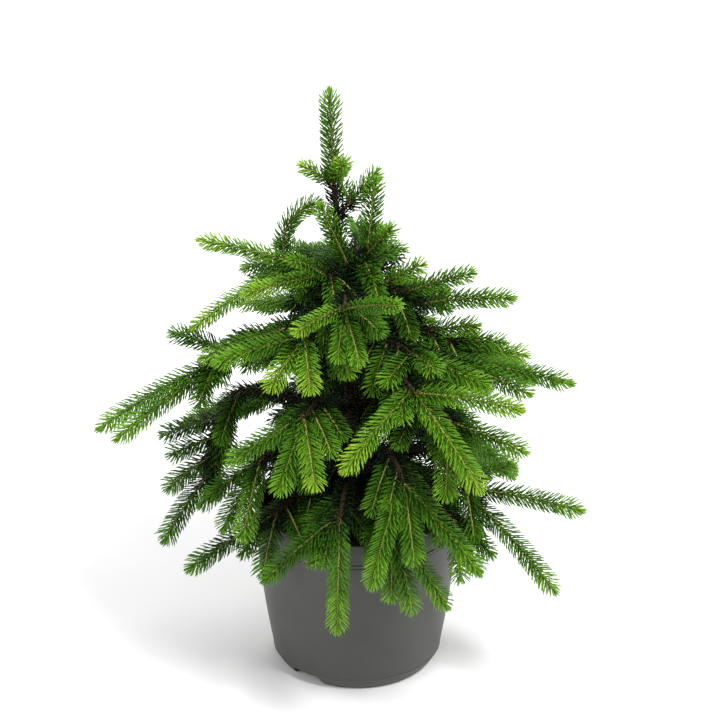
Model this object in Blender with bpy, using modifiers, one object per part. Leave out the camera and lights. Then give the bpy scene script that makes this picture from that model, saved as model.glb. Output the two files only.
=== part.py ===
# A young weeping Norway spruce in its round nursery pot.
# Metres, +Z up, the origin at the centre of the pot's underside.
# Bearings are in degrees: 0 points to the front (-Y), 90 to the right (+X).
# Pitches are in degrees above the horizontal.

import math
import random
from typing import NamedTuple

import bmesh
import bpy
import numpy as np
from mathutils import Matrix

# Shared sizes
CM = 0.01
CLEARANCE = 0.0003
MERGE = 0.00001

# Pot
POT_HEIGHT = 0.180
POT_BASE_RADIUS = 0.0768
POT_FOOT_RADIUS = 0.0885
POT_FOOT_HEIGHT = 0.014
POT_WALL_TOP = 0.1545
POT_WALL_TOP_RADIUS = 0.1040
POT_WALL_SWELL = 1.65
POT_WALL_POINTS = 5
POT_RIM_RADIUS = 0.1058
POT_RIM_ROUND = 0.0012
POT_WALL = 0.0016
POT_FLOOR_TOP = 0.0155
POT_RECESS_HEIGHT = 0.0135
POT_RING_WIDTH = 0.0050
POT_PAD_RADIUS = 0.0300
POT_STEPS = 32
NOTCH_BEARINGS = (-38, 142)
NOTCH_WIDTH = 0.030
NOTCH_HEIGHT = 0.0135
NOTCH_DEPTH = 0.020
NOTCH_SLOPE = 0.011

# Soil
SOIL_TOP = 0.162
SOIL_EDGE_DROP = 0.003
SOIL_FLAT = 0.8
SOIL_ROOM = 0.0004

# Trunk, from its flat cut on the soil to its tip inside the top needles
TRUNK_FOOT = SOIL_TOP + CLEARANCE
TRUNK_TOP = 0.520
TRUNK_FOOT_RADIUS = 0.0085
TRUNK_TIP_RADIUS = 0.0024
TRUNK_TAPER = 0.8
TRUNK_OFFSET = -0.0042
TRUNK_LEAN = -0.018
TRUNK_BOW = 0.002
FLARE_RADIUS = 0.006
FLARE_HEIGHT = 0.012
FLARE_LOBES = 3
FLARE_LOBE_SHARE = 0.10
TRUNK_POINTS = 16
TRUNK_MIDDLE = 0.34

# Boughs and stems
LIMB_ROOT_RADIUS = 0.0036
LIMB_TIP_RADIUS = 0.0025
LIMB_RISE = 20
LIMB_POINTS = 6
LIMB_END_LENGTH = 0.002
LIMB_SEAT = 0.0005
STEM_TIP_RADIUS = 0.0017
STEM_POINTS = 4
LONG_STEM = 2
LONG_STEM_START = 0.15
SHORT_STEM_START = 0.5

# Shoots: a slim core with rows of needle sprays that lean towards its tip
CORE_RADIUS = 0.0023
CORE_TIP_RADIUS = 0.0012
SPRAY_ROWS = 3
SPRAY_SPACING = 0.018
SPRAY_REACH = 0.0125
SPRAY_LEAN = 0.010
SPRAY_TWIST = 40
SPRAY_TAPER = 0.25
SPRAY_MIDDLE = 0.7
TIP_SPRAY = 0.7
BARE_FOOT = 0.006
TIP_NEEDLES = 0.008
ARC_STEP = 0.006

# Space that a shoot's core and its sprays keep
CORE_ROOM = 0.0065
POT_ROOM = 0.0060
SPRAY_ROOM = 0.0012
TURNS = ((0, 0), (0, 7), (8, 0), (-8, 0), (0, -7), (10, 8), (-10, 8), (0, 14),
         (16, 0), (-16, 0), (14, -9), (-14, -9), (0, -14), (24, 6), (-24, 6))
SHRINKS = (1.0, 0.85, 0.7, 0.55, 0.4, 0.25)
WOBBLE = 2.0
FAN_SEED = 3

# Boughs behind, which the rule of back_boughs lays out
BACK_COUNT = 12
BACK_SEED = 7
BACK_HEIGHTS = (45, 21)
BACK_BEARING = 180
BACK_SPREADS = (22, 54)
BACK_REACHES = (2.6, 13.2)
BACK_LENGTHS = (6.0, 11.6)
BACK_PITCHES = (10, -36)
BACK_DROOPS = (10, -30)
BACK_STEMS = (2.2, 3.0)
BACK_FANS = (16, 42)
BACK_RISES = (2.4, 3.6)
BACK_TURN = 8
BACK_WIDENING = 1.6
BACK_NODDING = 0.8
BACK_SPARSE = 0.2
BACK_COUNTS = (3, 4)
BACK_SIDE_LIFT = 4
BACK_SIDE_SHARE = 0.85
BACK_MIDDLE_SHARE = 1.05
GOLDEN = 0.618
GOLDEN_START = 0.3


class Bough(NamedTuple):
    """One bough or bare stem and the fan of shoots at its end; lengths in centimetres."""

    name: str
    start: float
    bearing: float
    reach: float
    height: float
    droop: float
    stem: float
    count: int
    first: tuple
    middle: tuple
    last: tuple
    sag: float = 12.0
    limb: bool = True


# start: height where it leaves the trunk; reach and height: where its needles begin;
# droop: its pitch there; stem: length the shoots leave from;
# first, middle, last: bearing, pitch and length of shoots in the fan, needles and all;
# sag: how far each one nods
FRONT_BOUGHS = (
    Bough("top_right", 48.6, 105, -0.8, 49.7, 30, 0.8, 2, (112, 46, 4.9), (0, 0, 0), (200, 22, 3.6), 0, False),
    Bough("left_hoop", 41.6, -104, 6.2, 42.9, 40, 0.8, 1, (-84, 62, 8.8), (0, 0, 0), (0, 0, 0), -106, False),
    Bough("centre_rise", 43.2, -12, 1.6, 44.0, 45, 0.8, 1, (-54, 64, 8.0), (0, 0, 0), (0, 0, 0), 0, False),
    Bough("right_rise", 42.6, 50, 1.3, 44.9, 40, 0.8, 2, (48, 44, 5.4), (0, 0, 0), (146, 76, 7.8), -8, False),
    Bough("left_high", 41.0, -64, 5.6, 44.9, 10, 1.2, 2, (-87, -27, 12.8), (0, 0, 0), (-75, 27, 9.8)),
    Bough("left_inner", 42.2, -28, 4.6, 44.2, 10, 1.0, 2, (-57, 5, 10.0), (0, 0, 0), (-37, 38, 6.8), limb=False),
    Bough("front_high", 40.2, -4, 10.0, 43.4, 0, 1.2, 4, (-50, -1, 6.6), (6, -42, 6.0), (40, 25, 8.6)),
    Bough("left_front", 37.0, -22, 10.6, 40.4, 0, 1.4, 3, (-66, -2, 9.8), (-34, -22, 7.2), (8, -30, 6.2)),
    Bough("left_mid", 35.2, -50, 7.4, 39.2, 0, 1.2, 2, (-98, -28, 5.4), (0, 0, 0), (-76, -8, 9.0), limb=False),
    Bough("far_left", 33.5, -68, 13.0, 37.0, -45, 3.4, 3, (-106, 20, 6.2), (-80, -21, 13.7), (-60, -19, 11.4)),
    Bough("left_low", 27.4, -76, 13.0, 29.7, -75, 7.2, 4, (-92, -11, 7.0), (-69, -16, 5.8), (-59, -45, 8.8)),
    Bough("left_skirt", 19.0, -42, 10.4, 20.8, -20, 1.0, 3, (-97, -48, 6.8), (-67, -17, 10.9), (-22, -50, 6.6)),
    Bough("front_skirt", 20.5, -5, 12.4, 22.9, -15, 1.2, 4, (-57, -21, 10.4), (-48, -38, 4.6), (-3, -60, 11.4)),
    Bough("right_high", 39.0, 66, 2.4, 42.4, -15, 5.6, 3, (77, 35, 5.2), (74, 28, 8.0), (71, 18, 9.4)),
    Bough("right_mid", 34.5, 74, 7.0, 37.8, -18, 5.6, 3, (80, 16, 5.4), (79, 9, 5.8), (90, 2, 5.8)),
    Bough("right_reach", 33.6, 55, 10.4, 36.2, -10, 1.2, 2, (77, 1, 12.9), (0, 0, 0), (58, -4, 9.2), limb=False),
    Bough("right_inner", 35.0, 33, 9.8, 38.0, -10, 1.2, 3, (-32, -12, 5.4), (25, 12, 5.2), (66, -6, 8.2), limb=False),
    Bough("right_front", 32.5, 24, 13.4, 36.0, -10, 1.2, 3, (-47, -27, 10.8), (42, -31, 12.0), (63, 8, 11.4)),
    Bough("right_hang", 29.0, 38, 14.6, 32.6, -20, 1.2, 3, (-5, -40, 8.4), (28, -44, 5.6), (62, -4, 8.0), limb=False),
    Bough("front_right", 24.5, 19, 14.2, 27.4, -30, 1.2, 3, (-32, -52, 11.2), (22, -64, 8.4), (62, -38, 11.6)),
    Bough("front_right_skirt", 19.5, 17, 13.0, 21.8, -40, 1.2, 3,
          (-4, -70, 7.8), (38, -62, 8.8), (62, -44, 9.4), limb=False),
    Bough("right_low", 22.8, 60, 12.6, 24.0, -60, 3.2, 3, (98, 20, 5.6), (74, 2, 11.8), (64, -36, 12.4)),
    Bough("right_skirt", 18.8, 48, 12.4, 20.8, -30, 1.2, 3,
          (92, -38, 6.8), (62, -52, 6.6), (35, -70, 6.8), limb=False),
    Bough("front_left", 28.5, -20, 12.0, 33.0, -10, 1.4, 3, (-62, -16, 9.2), (-26, -40, 8.2), (12, -40, 7.4)),
    Bough("left_under", 24.0, -44, 11.6, 27.2, -15, 1.4, 3,
          (-80, -30, 8.6), (-50, -44, 8.4), (-18, -44, 8.4), limb=False),
)

# The leading shoot and the whorl under it: bearing, pitch, length, height above the trunk's tip
LEADER_SHOOTS = ((-90, 88, 9.6, 0.0), (-90, 30, 4.2, 0.2), (20, 44, 4.4, 0.4), (160, 24, 3.8, 0.3))
LEADER_STEM = 0.9


class Strand(NamedTuple):
    """The middle line of a limb or shoot, and whose it is."""

    owner: str
    points: np.ndarray
    radius: float
    woody: bool = False
    stem: bool = False


class Shoot(NamedTuple):
    """One shoot of a fan."""

    base: np.ndarray
    bearing: float
    pitch: float
    length: float
    sag: float


# Lines in space


def heading(bearing, pitch):
    """The unit vector of a bearing and a pitch in degrees."""
    turn, rise = math.radians(bearing), math.radians(pitch)
    return np.array([math.sin(turn) * math.cos(rise), -math.cos(turn) * math.cos(rise), math.sin(rise)])


def bezier(a, b, c, d, count):
    t = np.linspace(0, 1, count)[:, None]
    return (1 - t) ** 3 * a + 3 * t * (1 - t) ** 2 * b + 3 * t * t * (1 - t) * c + t**3 * d


def between(ends, share):
    return ends[0] + (ends[1] - ends[0]) * share


def trunk_share(height):
    return min(1.0, max(0.0, (height - TRUNK_FOOT) / (TRUNK_TOP - TRUNK_FOOT)))


def trunk_at(height):
    """The trunk's middle at a height: a lean that grows upwards and a slight bow."""
    share = trunk_share(height)
    return np.array([TRUNK_OFFSET + TRUNK_LEAN * share**2, TRUNK_BOW * math.sin(3 * share) ** 2, height])


def trunk_radius(height):
    share = trunk_share(height)
    taper = TRUNK_FOOT_RADIUS + (TRUNK_TIP_RADIUS - TRUNK_FOOT_RADIUS) * share**TRUNK_TAPER
    return taper + FLARE_RADIUS * math.exp(-(height - TRUNK_FOOT) / FLARE_HEIGHT)


def trunk_line():
    """Points up the trunk, closer together at the root flare."""
    shares = np.linspace(0, 1, TRUNK_POINTS) ** 1.5
    return np.array([trunk_at(TRUNK_FOOT + s * (TRUNK_TOP - TRUNK_FOOT)) for s in shares])


def limb_line(bough):
    """A limb's middle, from just clear of the trunk to where its needles begin."""
    height = bough.start * CM
    side = heading(bough.bearing, 0)
    start = trunk_at(height) + side * (trunk_radius(height) + LIMB_SEAT)
    end = side * bough.reach * CM + np.array([TRUNK_OFFSET, 0, bough.height * CM])
    span = np.linalg.norm(end - start) / 3
    rise, droop = heading(bough.bearing, LIMB_RISE), heading(bough.bearing, bough.droop)
    root, tip = start + side * LIMB_END_LENGTH, end - droop * LIMB_END_LENGTH
    line = bezier(root, root + rise * span, tip - droop * span, tip, LIMB_POINTS)
    return np.concatenate([[start], line, [end]])


def stem_line(bough, limb):
    """The straight stem that a fan of shoots leaves from."""
    way = heading(bough.bearing, bough.droop) * bough.stem * CM
    return limb[-1] + np.linspace(0, 1, STEM_POINTS)[:, None] * way


def shoot_pitch(shoot, share):
    return shoot.pitch - shoot.sag * share


def shoot_line(shoot):
    """A shoot's middle: an even bend in the upright plane of its bearing."""
    count = max(4, round(shoot.length / ARC_STEP))
    points = [shoot.base]
    for k in range(count):
        way = heading(shoot.bearing, shoot_pitch(shoot, (k + 0.5) / count))
        points.append(points[-1] + way * shoot.length / count)
    return np.array(points)


# Laying out the boughs and shoots


def back_boughs():
    """Boughs behind the trunk, spread by the golden ratio, longer and lower towards the foot."""
    rng = random.Random(BACK_SEED)
    boughs = []
    for k in range(BACK_COUNT):
        low = (k + 0.5) / BACK_COUNT
        height = between(BACK_HEIGHTS, low)
        wide = min(1, low * 2)
        spread, fan_turn = between(BACK_SPREADS, wide), between(BACK_FANS, wide)
        bearing = BACK_BEARING + between((-spread, spread), (k * GOLDEN + GOLDEN_START) % 1.0)
        length = between(BACK_LENGTHS, wide) + rng.random()
        pitch = between(BACK_PITCHES, low**BACK_NODDING)
        middle = bearing + rng.uniform(-BACK_TURN, BACK_TURN)
        side_length = length * BACK_SIDE_SHARE
        boughs.append(Bough(
            f"back_{k + 1}", height - between(BACK_RISES, low), bearing,
            between(BACK_REACHES, min(1, low * BACK_WIDENING)), height,
            between(BACK_DROOPS, low), between(BACK_STEMS, wide), BACK_COUNTS[low > BACK_SPARSE],
            (bearing - fan_turn, pitch + BACK_SIDE_LIFT, side_length),
            (middle, pitch - BACK_SIDE_LIFT, length * BACK_MIDDLE_SHARE),
            (bearing + fan_turn, pitch + BACK_SIDE_LIFT, side_length), limb=k % 2 == 0,
        ))
    return boughs


def fan(bough, rng):
    """Yields each shoot's share of the stem, bearing, pitch and length, by a curve through three of them."""
    first, middle, last = (np.array(way, float) for way in (bough.first, bough.middle, bough.last))
    for k in range(bough.count):
        t = k / max(1, bough.count - 1)
        if bough.count < 3:
            way = first + (last - first) * t
        else:
            way = first * (1 - t) * (1 - 2 * t) + middle * 4 * t * (1 - t) + last * t * (2 * t - 1)
        wobble = rng.uniform(-WOBBLE, WOBBLE), rng.uniform(-WOBBLE, WOBBLE)
        yield t, way[0] + wobble[0], way[1] + wobble[1], way[2] * CM - TIP_NEEDLES


def distances(points, strands):
    """The distance of each point from the nearest surface of these strands."""
    starts = np.concatenate([s.points[:-1] for s in strands])
    along = np.concatenate([np.diff(s.points, axis=0) for s in strands])
    radii = np.concatenate([np.full(len(s.points) - 1, s.radius) for s in strands])
    offset = points[:, None, :] - starts[None, :, :]
    t = np.clip((offset * along).sum(-1) / (along * along).sum(-1), 0, 1)
    return (np.linalg.norm(offset - t[..., None] * along, axis=-1) - radii).min(axis=1)


def pot_radius(height):
    """The outer radius of the pot's wall at a height."""
    if height < POT_FOOT_HEIGHT:
        share = max(0.0, height / POT_FOOT_HEIGHT)
        return POT_BASE_RADIUS + (POT_FOOT_RADIUS - POT_BASE_RADIUS) * share**0.5
    if height > POT_WALL_TOP:
        return POT_RIM_RADIUS
    share = (height - POT_FOOT_HEIGHT) / (POT_WALL_TOP - POT_FOOT_HEIGHT)
    return POT_WALL_TOP_RADIUS + (POT_FOOT_RADIUS - POT_WALL_TOP_RADIUS) * (1 - share) ** POT_WALL_SWELL


def clear_of_pot(points, room):
    """Whether every point lies outside or above the pot by this much."""
    out = np.hypot(points[:, 0], points[:, 1])
    wall = np.array([pot_radius(height) for height in points[:, 2]])
    return bool(np.all((out > wall + room) | (points[:, 2] > POT_HEIGHT + room)))


def course_is_free(line, owners, strands):
    """Whether a shoot's core keeps off the pot, the limbs and the other masses."""
    points = line[1:]
    if not clear_of_pot(points, POT_ROOM):
        return False
    others = [s for s in strands if s.owner not in owners]
    return distances(points, others).min() > CORE_ROOM


def lay_out():
    """Returns the limbs' lines, each mass's shoots and every strand."""
    boughs = list(FRONT_BOUGHS) + back_boughs()
    strands = [Strand("trunk", trunk_line(), trunk_radius(TRUNK_MIDDLE), True)]
    limbs = {}
    for bough in boughs:
        line = limb_line(bough)
        limbs[bough.name] = line
        owner = "bough_" + bough.name if bough.limb else bough.name
        strands.append(Strand(owner, line, LIMB_TIP_RADIUS, bough.limb, True))
        strands.append(Strand(bough.name, stem_line(bough, line), 0.0, stem=True))
    rng = random.Random(FAN_SEED)
    masses = {bough.name: [] for bough in boughs}
    masses["leader"] = [
        Shoot(trunk_at(TRUNK_TOP) + np.array([0, 0, CLEARANCE + rise * CM]), bearing, pitch,
              length * CM - TIP_NEEDLES, 0)
        for bearing, pitch, length, rise in LEADER_SHOOTS
    ]
    strands += [Strand("leader", shoot_line(s), 0.0) for s in masses["leader"]]
    for bough in boughs:
        stem = stem_line(bough, limbs[bough.name])
        for t, bearing, pitch, length in fan(bough, rng):
            start = LONG_STEM_START if bough.stem > LONG_STEM else SHORT_STEM_START
            share = start + (1 - start) * t
            base = stem[0] + (stem[-1] - stem[0]) * share
            for turn, lift in TURNS:
                shoot = Shoot(base, bearing + turn, pitch + lift, length, bough.sag)
                line = shoot_line(shoot)
                if course_is_free(line, (bough.name, "bough_" + bough.name), strands):
                    masses[bough.name].append(shoot)
                    strands.append(Strand(bough.name, line, 0.0))
                    break
    return boughs, limbs, masses, strands


# Modelling


def clear_scene():
    for obj in list(bpy.data.objects):
        bpy.data.objects.remove(obj, do_unlink=True)


def new_collection(name):
    collection = bpy.data.collections.new(name)
    bpy.context.scene.collection.children.link(collection)
    return collection


def finish(name, color, roughness):
    """A Principled material."""
    material = bpy.data.materials.new(name)
    material.use_nodes = True
    shader = material.node_tree.nodes["Principled BSDF"]
    shader.inputs["Base Color"].default_value = (*color, 1)
    shader.inputs["Roughness"].default_value = roughness
    shader.inputs["Metallic"].default_value = 0
    return material


def mesh_object(name, mesh, collection, material):
    obj = bpy.data.objects.new(name, mesh)
    mesh.materials.clear()
    mesh.materials.append(material)
    collection.objects.link(obj)
    return obj


def evaluated_mesh(obj):
    """The mesh that an object's modifiers or curve make."""
    bpy.context.view_layer.update()
    graph = bpy.context.evaluated_depsgraph_get()
    return bpy.data.meshes.new_from_object(obj.evaluated_get(graph), depsgraph=graph)


def tube(name, points, radii, rings, collection, material):
    """A tapering limb: a bevelled curve made a mesh, with its caps welded on."""
    curve = bpy.data.curves.new(name, "CURVE")
    curve.dimensions = "3D"
    curve.bevel_depth = 1.0
    curve.bevel_resolution = rings
    curve.use_fill_caps = True
    spline = curve.splines.new("POLY")
    spline.points.add(len(points) - 1)
    for place, point, radius in zip(spline.points, points, radii):
        place.co = (*point, 1)
        place.radius = radius
    guide = bpy.data.objects.new(name + "_guide", curve)
    collection.objects.link(guide)
    mesh = evaluated_mesh(guide)
    bpy.data.objects.remove(guide, do_unlink=True)
    bm = bmesh.new()
    bm.from_mesh(mesh)
    bmesh.ops.remove_doubles(bm, verts=bm.verts, dist=MERGE)
    bmesh.ops.recalc_face_normals(bm, faces=bm.faces)
    bm.to_mesh(mesh)
    bm.free()
    mesh.shade_smooth()
    mesh.set_sharp_from_angle(angle=math.radians(40))
    return mesh_object(name, mesh, collection, material)


def turned(name, profile, steps, collection, material):
    """A profile of (radius, height) points turned about the upright axis."""
    mesh = bpy.data.meshes.new(name)
    mesh.from_pydata([(r, 0, z) for r, z in profile], [(k, k + 1) for k in range(len(profile) - 1)], [])
    obj = mesh_object(name, mesh, collection, material)
    screw = obj.modifiers.new("turn", "SCREW")
    screw.steps = screw.render_steps = steps
    screw.use_merge_vertices = True
    screw.merge_threshold = 0.0001
    screw.use_smooth_shade = True
    return obj


def round_corner(center, radius, start, end, count):
    """Points of a profile round a corner, by angles in degrees."""
    angles = np.radians(np.linspace(start, end, count))
    return [(center[0] + radius * math.cos(a), center[1] + radius * math.sin(a)) for a in angles]


def pot_profile():
    """The pot's outline: inside, rim, outer wall, foot, and the underside with its central pad."""
    outer = np.linspace(POT_WALL_TOP, POT_FOOT_HEIGHT, POT_WALL_POINTS)
    rim = (POT_RIM_RADIUS - POT_RIM_ROUND, POT_HEIGHT - POT_RIM_ROUND)
    foot = (POT_BASE_RADIUS, POT_FOOT_HEIGHT * 0.3)
    ring = POT_BASE_RADIUS - POT_RING_WIDTH
    profile = [(0.0, POT_FLOOR_TOP)]
    profile += inside_wall()
    profile += round_corner(rim, POT_RIM_ROUND, 90, 0, 3)
    profile += [(POT_RIM_RADIUS, POT_WALL_TOP + 0.0004)]
    profile += [(pot_radius(z), z) for z in outer]
    profile += [(pot_radius(foot[1]), foot[1]), (POT_BASE_RADIUS, 0.0), (ring, 0.0)]
    profile += [(ring - 0.002, POT_RECESS_HEIGHT), (POT_PAD_RADIUS + 0.003, POT_RECESS_HEIGHT)]
    profile += [(POT_PAD_RADIUS, 0.0), (0.0, 0.0)]
    return profile


def inside_wall():
    """The inner wall's (radius, height) points, from the floor to the rim."""
    heights = (POT_FLOOR_TOP, POT_FOOT_HEIGHT + POT_FLOOR_TOP, POT_WALL_TOP / 2, POT_HEIGHT - POT_RIM_ROUND)
    return [(min(pot_radius(z), POT_WALL_TOP_RADIUS) - POT_WALL, z) for z in heights]


def build_pot(collection, cutters, material):
    pot = turned("pot", pot_profile(), POT_STEPS, collection, material)
    for number, bearing in enumerate(NOTCH_BEARINGS):
        bm = bmesh.new()
        place = Matrix.Rotation(math.radians(bearing), 4, "Z")
        place @= Matrix.Translation((0, -POT_BASE_RADIUS, 0))
        bmesh.ops.create_cube(bm, size=1.0)
        for vert in bm.verts:
            spread = NOTCH_WIDTH / 2 + (NOTCH_SLOPE if vert.co.z < 0 else 0)
            height = NOTCH_HEIGHT if vert.co.z > 0 else -NOTCH_HEIGHT
            vert.co = (math.copysign(spread, vert.co.x), vert.co.y * 2 * NOTCH_DEPTH, height)
        bm.transform(place)
        mesh = bpy.data.meshes.new(f"notch_{number + 1}")
        bm.to_mesh(mesh)
        bm.free()
        cutter = mesh_object(mesh.name, mesh, cutters, material)
        cutter.hide_render = True
        cutter.display_type = "WIRE"
        cut = pot.modifiers.new(mesh.name, "BOOLEAN")
        cut.operation = "DIFFERENCE"
        cut.object = cutter
    return pot


def build_soil(collection, material):
    """Soil that fills the pot: flat on top, clear of the wall and floor all round."""
    bottom = POT_FLOOR_TOP + CLEARANCE
    edge = SOIL_TOP - SOIL_EDGE_DROP
    wall = inside_wall()
    radii, heights = zip(*wall)
    levels = [edge] + [z for z in reversed(heights) if bottom < z < edge] + [bottom]
    sides = [(float(np.interp(z, heights, radii)) - SOIL_ROOM, z) for z in levels]
    profile = [(0.0, SOIL_TOP), (sides[0][0] * SOIL_FLAT, SOIL_TOP), *sides, (0.0, bottom)]
    return turned("soil", profile, POT_STEPS, collection, material)


def build_trunk(collection, material):
    line = trunk_line()
    trunk = tube("trunk", line, [trunk_radius(z) for z in line[:, 2]], 2, collection, material)
    for vert in trunk.data.vertices:
        middle = trunk_at(vert.co.z)
        turn = math.atan2(vert.co.y - middle[1], vert.co.x - middle[0])
        fade = math.exp(-(vert.co.z - TRUNK_FOOT) / FLARE_HEIGHT)
        share = 1 + FLARE_LOBE_SHARE * fade * math.cos(FLARE_LOBES * turn)
        vert.co.x = middle[0] + (vert.co.x - middle[0]) * share
        vert.co.y = middle[1] + (vert.co.y - middle[1]) * share
    return trunk


def build_bough(bough, line, collection, material):
    radii = np.linspace(LIMB_ROOT_RADIUS, LIMB_TIP_RADIUS, len(line))
    return tube("bough_" + bough.name, line, radii, 1, collection, material)


class Space:
    """The room of one shoot: nearer to its own middle line than to any other's, and off the wood and pot."""

    def __init__(self, owner, line, strands):
        self.own = [Strand(owner, line, 0.0)]
        self.soft = [s for s in strands if not s.woody and not self.is_own(s, owner, line)]
        self.woody = [s for s in strands if s.woody]

    def is_own(self, strand, owner, line):
        """Whether a strand is the shoot itself or the stem that carries it."""
        same = len(strand.points) == len(line) and np.allclose(strand.points, line)
        return same or (strand.owner == owner and strand.stem)

    def holds(self, points):
        if not clear_of_pot(points, SPRAY_ROOM):
            return False
        if (distances(points, self.woody) < 2 * SPRAY_ROOM).any():
            return False
        return bool((distances(points, self.soft) > distances(points, self.own) + SPRAY_ROOM).all())


def bend_along(shoot, line, x, y, z):
    """Carries a point of a straight shoot along Z onto the shoot's own bend."""
    share = min(1.0, max(0.0, z / shoot.length))
    place = share * (len(line) - 1)
    low = min(int(place), len(line) - 2)
    middle = line[low] + (line[low + 1] - line[low]) * (place - low)
    way = heading(shoot.bearing, shoot_pitch(shoot, share))
    side = heading(shoot.bearing + 90, 0)
    back = np.cross(way, side)
    return middle + way * (z - share * shoot.length) + side * x + back * y


def build_shoot(name, shoot, strands, collection, material):
    """A slim core whose faces are drawn out into sprays of needles that lean towards the tip."""
    rings = max(3, round((shoot.length - BARE_FOOT) / SPRAY_SPACING))
    bm = bmesh.new()
    bmesh.ops.create_cone(bm, cap_ends=True, segments=SPRAY_ROWS, radius1=CORE_RADIUS,
                          radius2=CORE_TIP_RADIUS, depth=shoot.length)
    bmesh.ops.translate(bm, verts=bm.verts, vec=(0, 0, shoot.length / 2))
    levels = [BARE_FOOT + (shoot.length - BARE_FOOT) * k / rings for k in range(rings)]
    for level in levels:
        bmesh.ops.bisect_plane(bm, geom=bm.verts[:] + bm.edges[:] + bm.faces[:],
                               plane_co=(0, 0, level), plane_no=(0, 0, 1))
    sides = [f for f in bm.faces if abs(f.normal.z) < 0.5 and f.calc_center_median().z > BARE_FOOT]
    sprays = bmesh.ops.poke(bm, faces=sides)["verts"]
    roots = {v: v.co.copy() for v in sprays}
    for vert in sprays:
        share = vert.co.z / shoot.length
        out = vert.co.copy()
        out.z = 0
        reach = SPRAY_REACH * (1 - SPRAY_TAPER * share**3)
        vert.co += out.normalized() * reach
        vert.co.z += SPRAY_LEAN
    tip = [f for f in bm.faces if f.normal.z > 0.9 and f.calc_center_median().z > shoot.length * 0.99]
    for vert in bmesh.ops.poke(bm, faces=tip)["verts"]:
        vert.co.z += SPRAY_LEAN * TIP_SPRAY
    twist = math.radians(SPRAY_TWIST)
    line = shoot_line(shoot)
    space = Space(name.split("_shoot")[0], line, strands)
    for vert in bm.verts:
        root = roots.get(vert)
        foot = vert.co.z if root is None else root.z
        turn = twist * foot / SPRAY_SPACING
        x, y, z = Matrix.Rotation(turn, 3, "Z") @ vert.co
        place = bend_along(shoot, line, x, y, z)
        if root is not None:
            middle = bend_along(shoot, line, 0, 0, root.z)
            place = fit_spray(middle, place, space)
        vert.co = place
    mesh = bpy.data.meshes.new(name)
    bm.to_mesh(mesh)
    bm.free()
    return mesh_object(name, mesh, collection, material)


def fit_spray(root, tip, space):
    """Draws a spray's tip back until the spray keeps to its mass's own space."""
    for share in SHRINKS:
        reach = root + (tip - root) * share
        if space.holds(np.array([reach, root + (reach - root) * SPRAY_MIDDLE])):
            return reach
    return root + (tip - root) * SHRINKS[-1]


def build_mass(name, stem, shoots, strands, collection, material):
    """Joins a stem and its shoots into one solid."""
    parts = new_collection(name + "_parts")
    points, radii = stem
    base = tube(name, points, radii, 0, collection, material)
    for number, shoot in enumerate(shoots):
        build_shoot(f"{name}_shoot_{number + 1}", shoot, strands, parts, material)
    join = base.modifiers.new("join", "BOOLEAN")
    join.operation = "UNION"
    join.operand_type = "COLLECTION"
    join.collection = parts
    mesh = evaluated_mesh(base)
    if not is_closed(mesh):
        join.solver = "MANIFOLD"
        mesh = evaluated_mesh(base)
    base.modifiers.remove(join)
    base.data = mesh
    for obj in list(parts.objects):
        bpy.data.objects.remove(obj, do_unlink=True)
    bpy.data.collections.remove(parts)
    keep_outer_body(mesh)
    mesh.materials.clear()
    mesh.materials.append(material)
    return base


def is_closed(mesh):
    """Whether each edge has just two faces once near points are merged."""
    bm = bmesh.new()
    bm.from_mesh(mesh)
    bmesh.ops.remove_doubles(bm, verts=bm.verts, dist=MERGE)
    closed = all(edge.is_manifold for edge in bm.edges)
    bm.free()
    return closed


def keep_outer_body(mesh):
    """Drops loose scraps and the walls of sealed hollows, which leaves the largest body."""
    bm = bmesh.new()
    bm.from_mesh(mesh)
    bmesh.ops.remove_doubles(bm, verts=bm.verts, dist=MERGE)
    bmesh.ops.triangulate(bm, faces=bm.faces)
    waiting = set(bm.faces)
    bodies = []
    while waiting:
        front = [waiting.pop()]
        body = set(front)
        while front:
            face = front.pop()
            near = {f for edge in face.edges for f in edge.link_faces} & waiting
            waiting -= near
            body |= near
            front += near
        bodies.append(body)
    largest = max(bodies, key=len)
    scraps = [f for body in bodies if body is not largest for f in body]
    bmesh.ops.delete(bm, geom=scraps, context="FACES")
    bm.to_mesh(mesh)
    bm.free()


def mass_stem(bough, limb):
    """The points and radii of a mass's stem, which starts at the trunk where it has no bough of its own."""
    stem = stem_line(bough, limb)
    if bough.limb:
        way = heading(bough.bearing, bough.droop)
        stem = stem.copy()
        stem[0] += way * CLEARANCE
        return stem, np.linspace(LIMB_TIP_RADIUS, STEM_TIP_RADIUS, len(stem))
    points = np.concatenate([limb, stem[1:]])
    radii = np.linspace(LIMB_ROOT_RADIUS, LIMB_TIP_RADIUS, len(limb))
    tail = np.linspace(LIMB_TIP_RADIUS, STEM_TIP_RADIUS, len(stem))[1:]
    return points, np.concatenate([radii, tail])


def leader_stem():
    foot = trunk_at(TRUNK_TOP) + np.array([0, 0, CLEARANCE])
    points = foot + np.linspace(0, 1, 3)[:, None] * np.array([0, 0, LEADER_STEM * CM])
    return points, [TRUNK_TIP_RADIUS] * 3


def main():
    clear_scene()
    plant = new_collection("weeping_spruce")
    cutters = new_collection("cutters")
    plastic = finish("grey_plastic", (0.105, 0.105, 0.098), 0.55)
    peat = finish("peat", (0.035, 0.024, 0.016), 0.95)
    bark = finish("bark", (0.13, 0.065, 0.035), 0.85)
    needles = finish("needles", (0.06, 0.22, 0.03), 0.55)
    build_pot(plant, cutters, plastic)
    build_soil(plant, peat)
    build_trunk(plant, bark)
    boughs, limbs, masses, strands = lay_out()
    for bough in boughs:
        line = limbs[bough.name]
        if bough.limb:
            build_bough(bough, line, plant, bark)
        build_mass(bough.name, mass_stem(bough, line), masses[bough.name], strands, plant, needles)
    build_mass("leader", leader_stem(), masses["leader"], strands, plant, needles)
    cutters.hide_render = True


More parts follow.
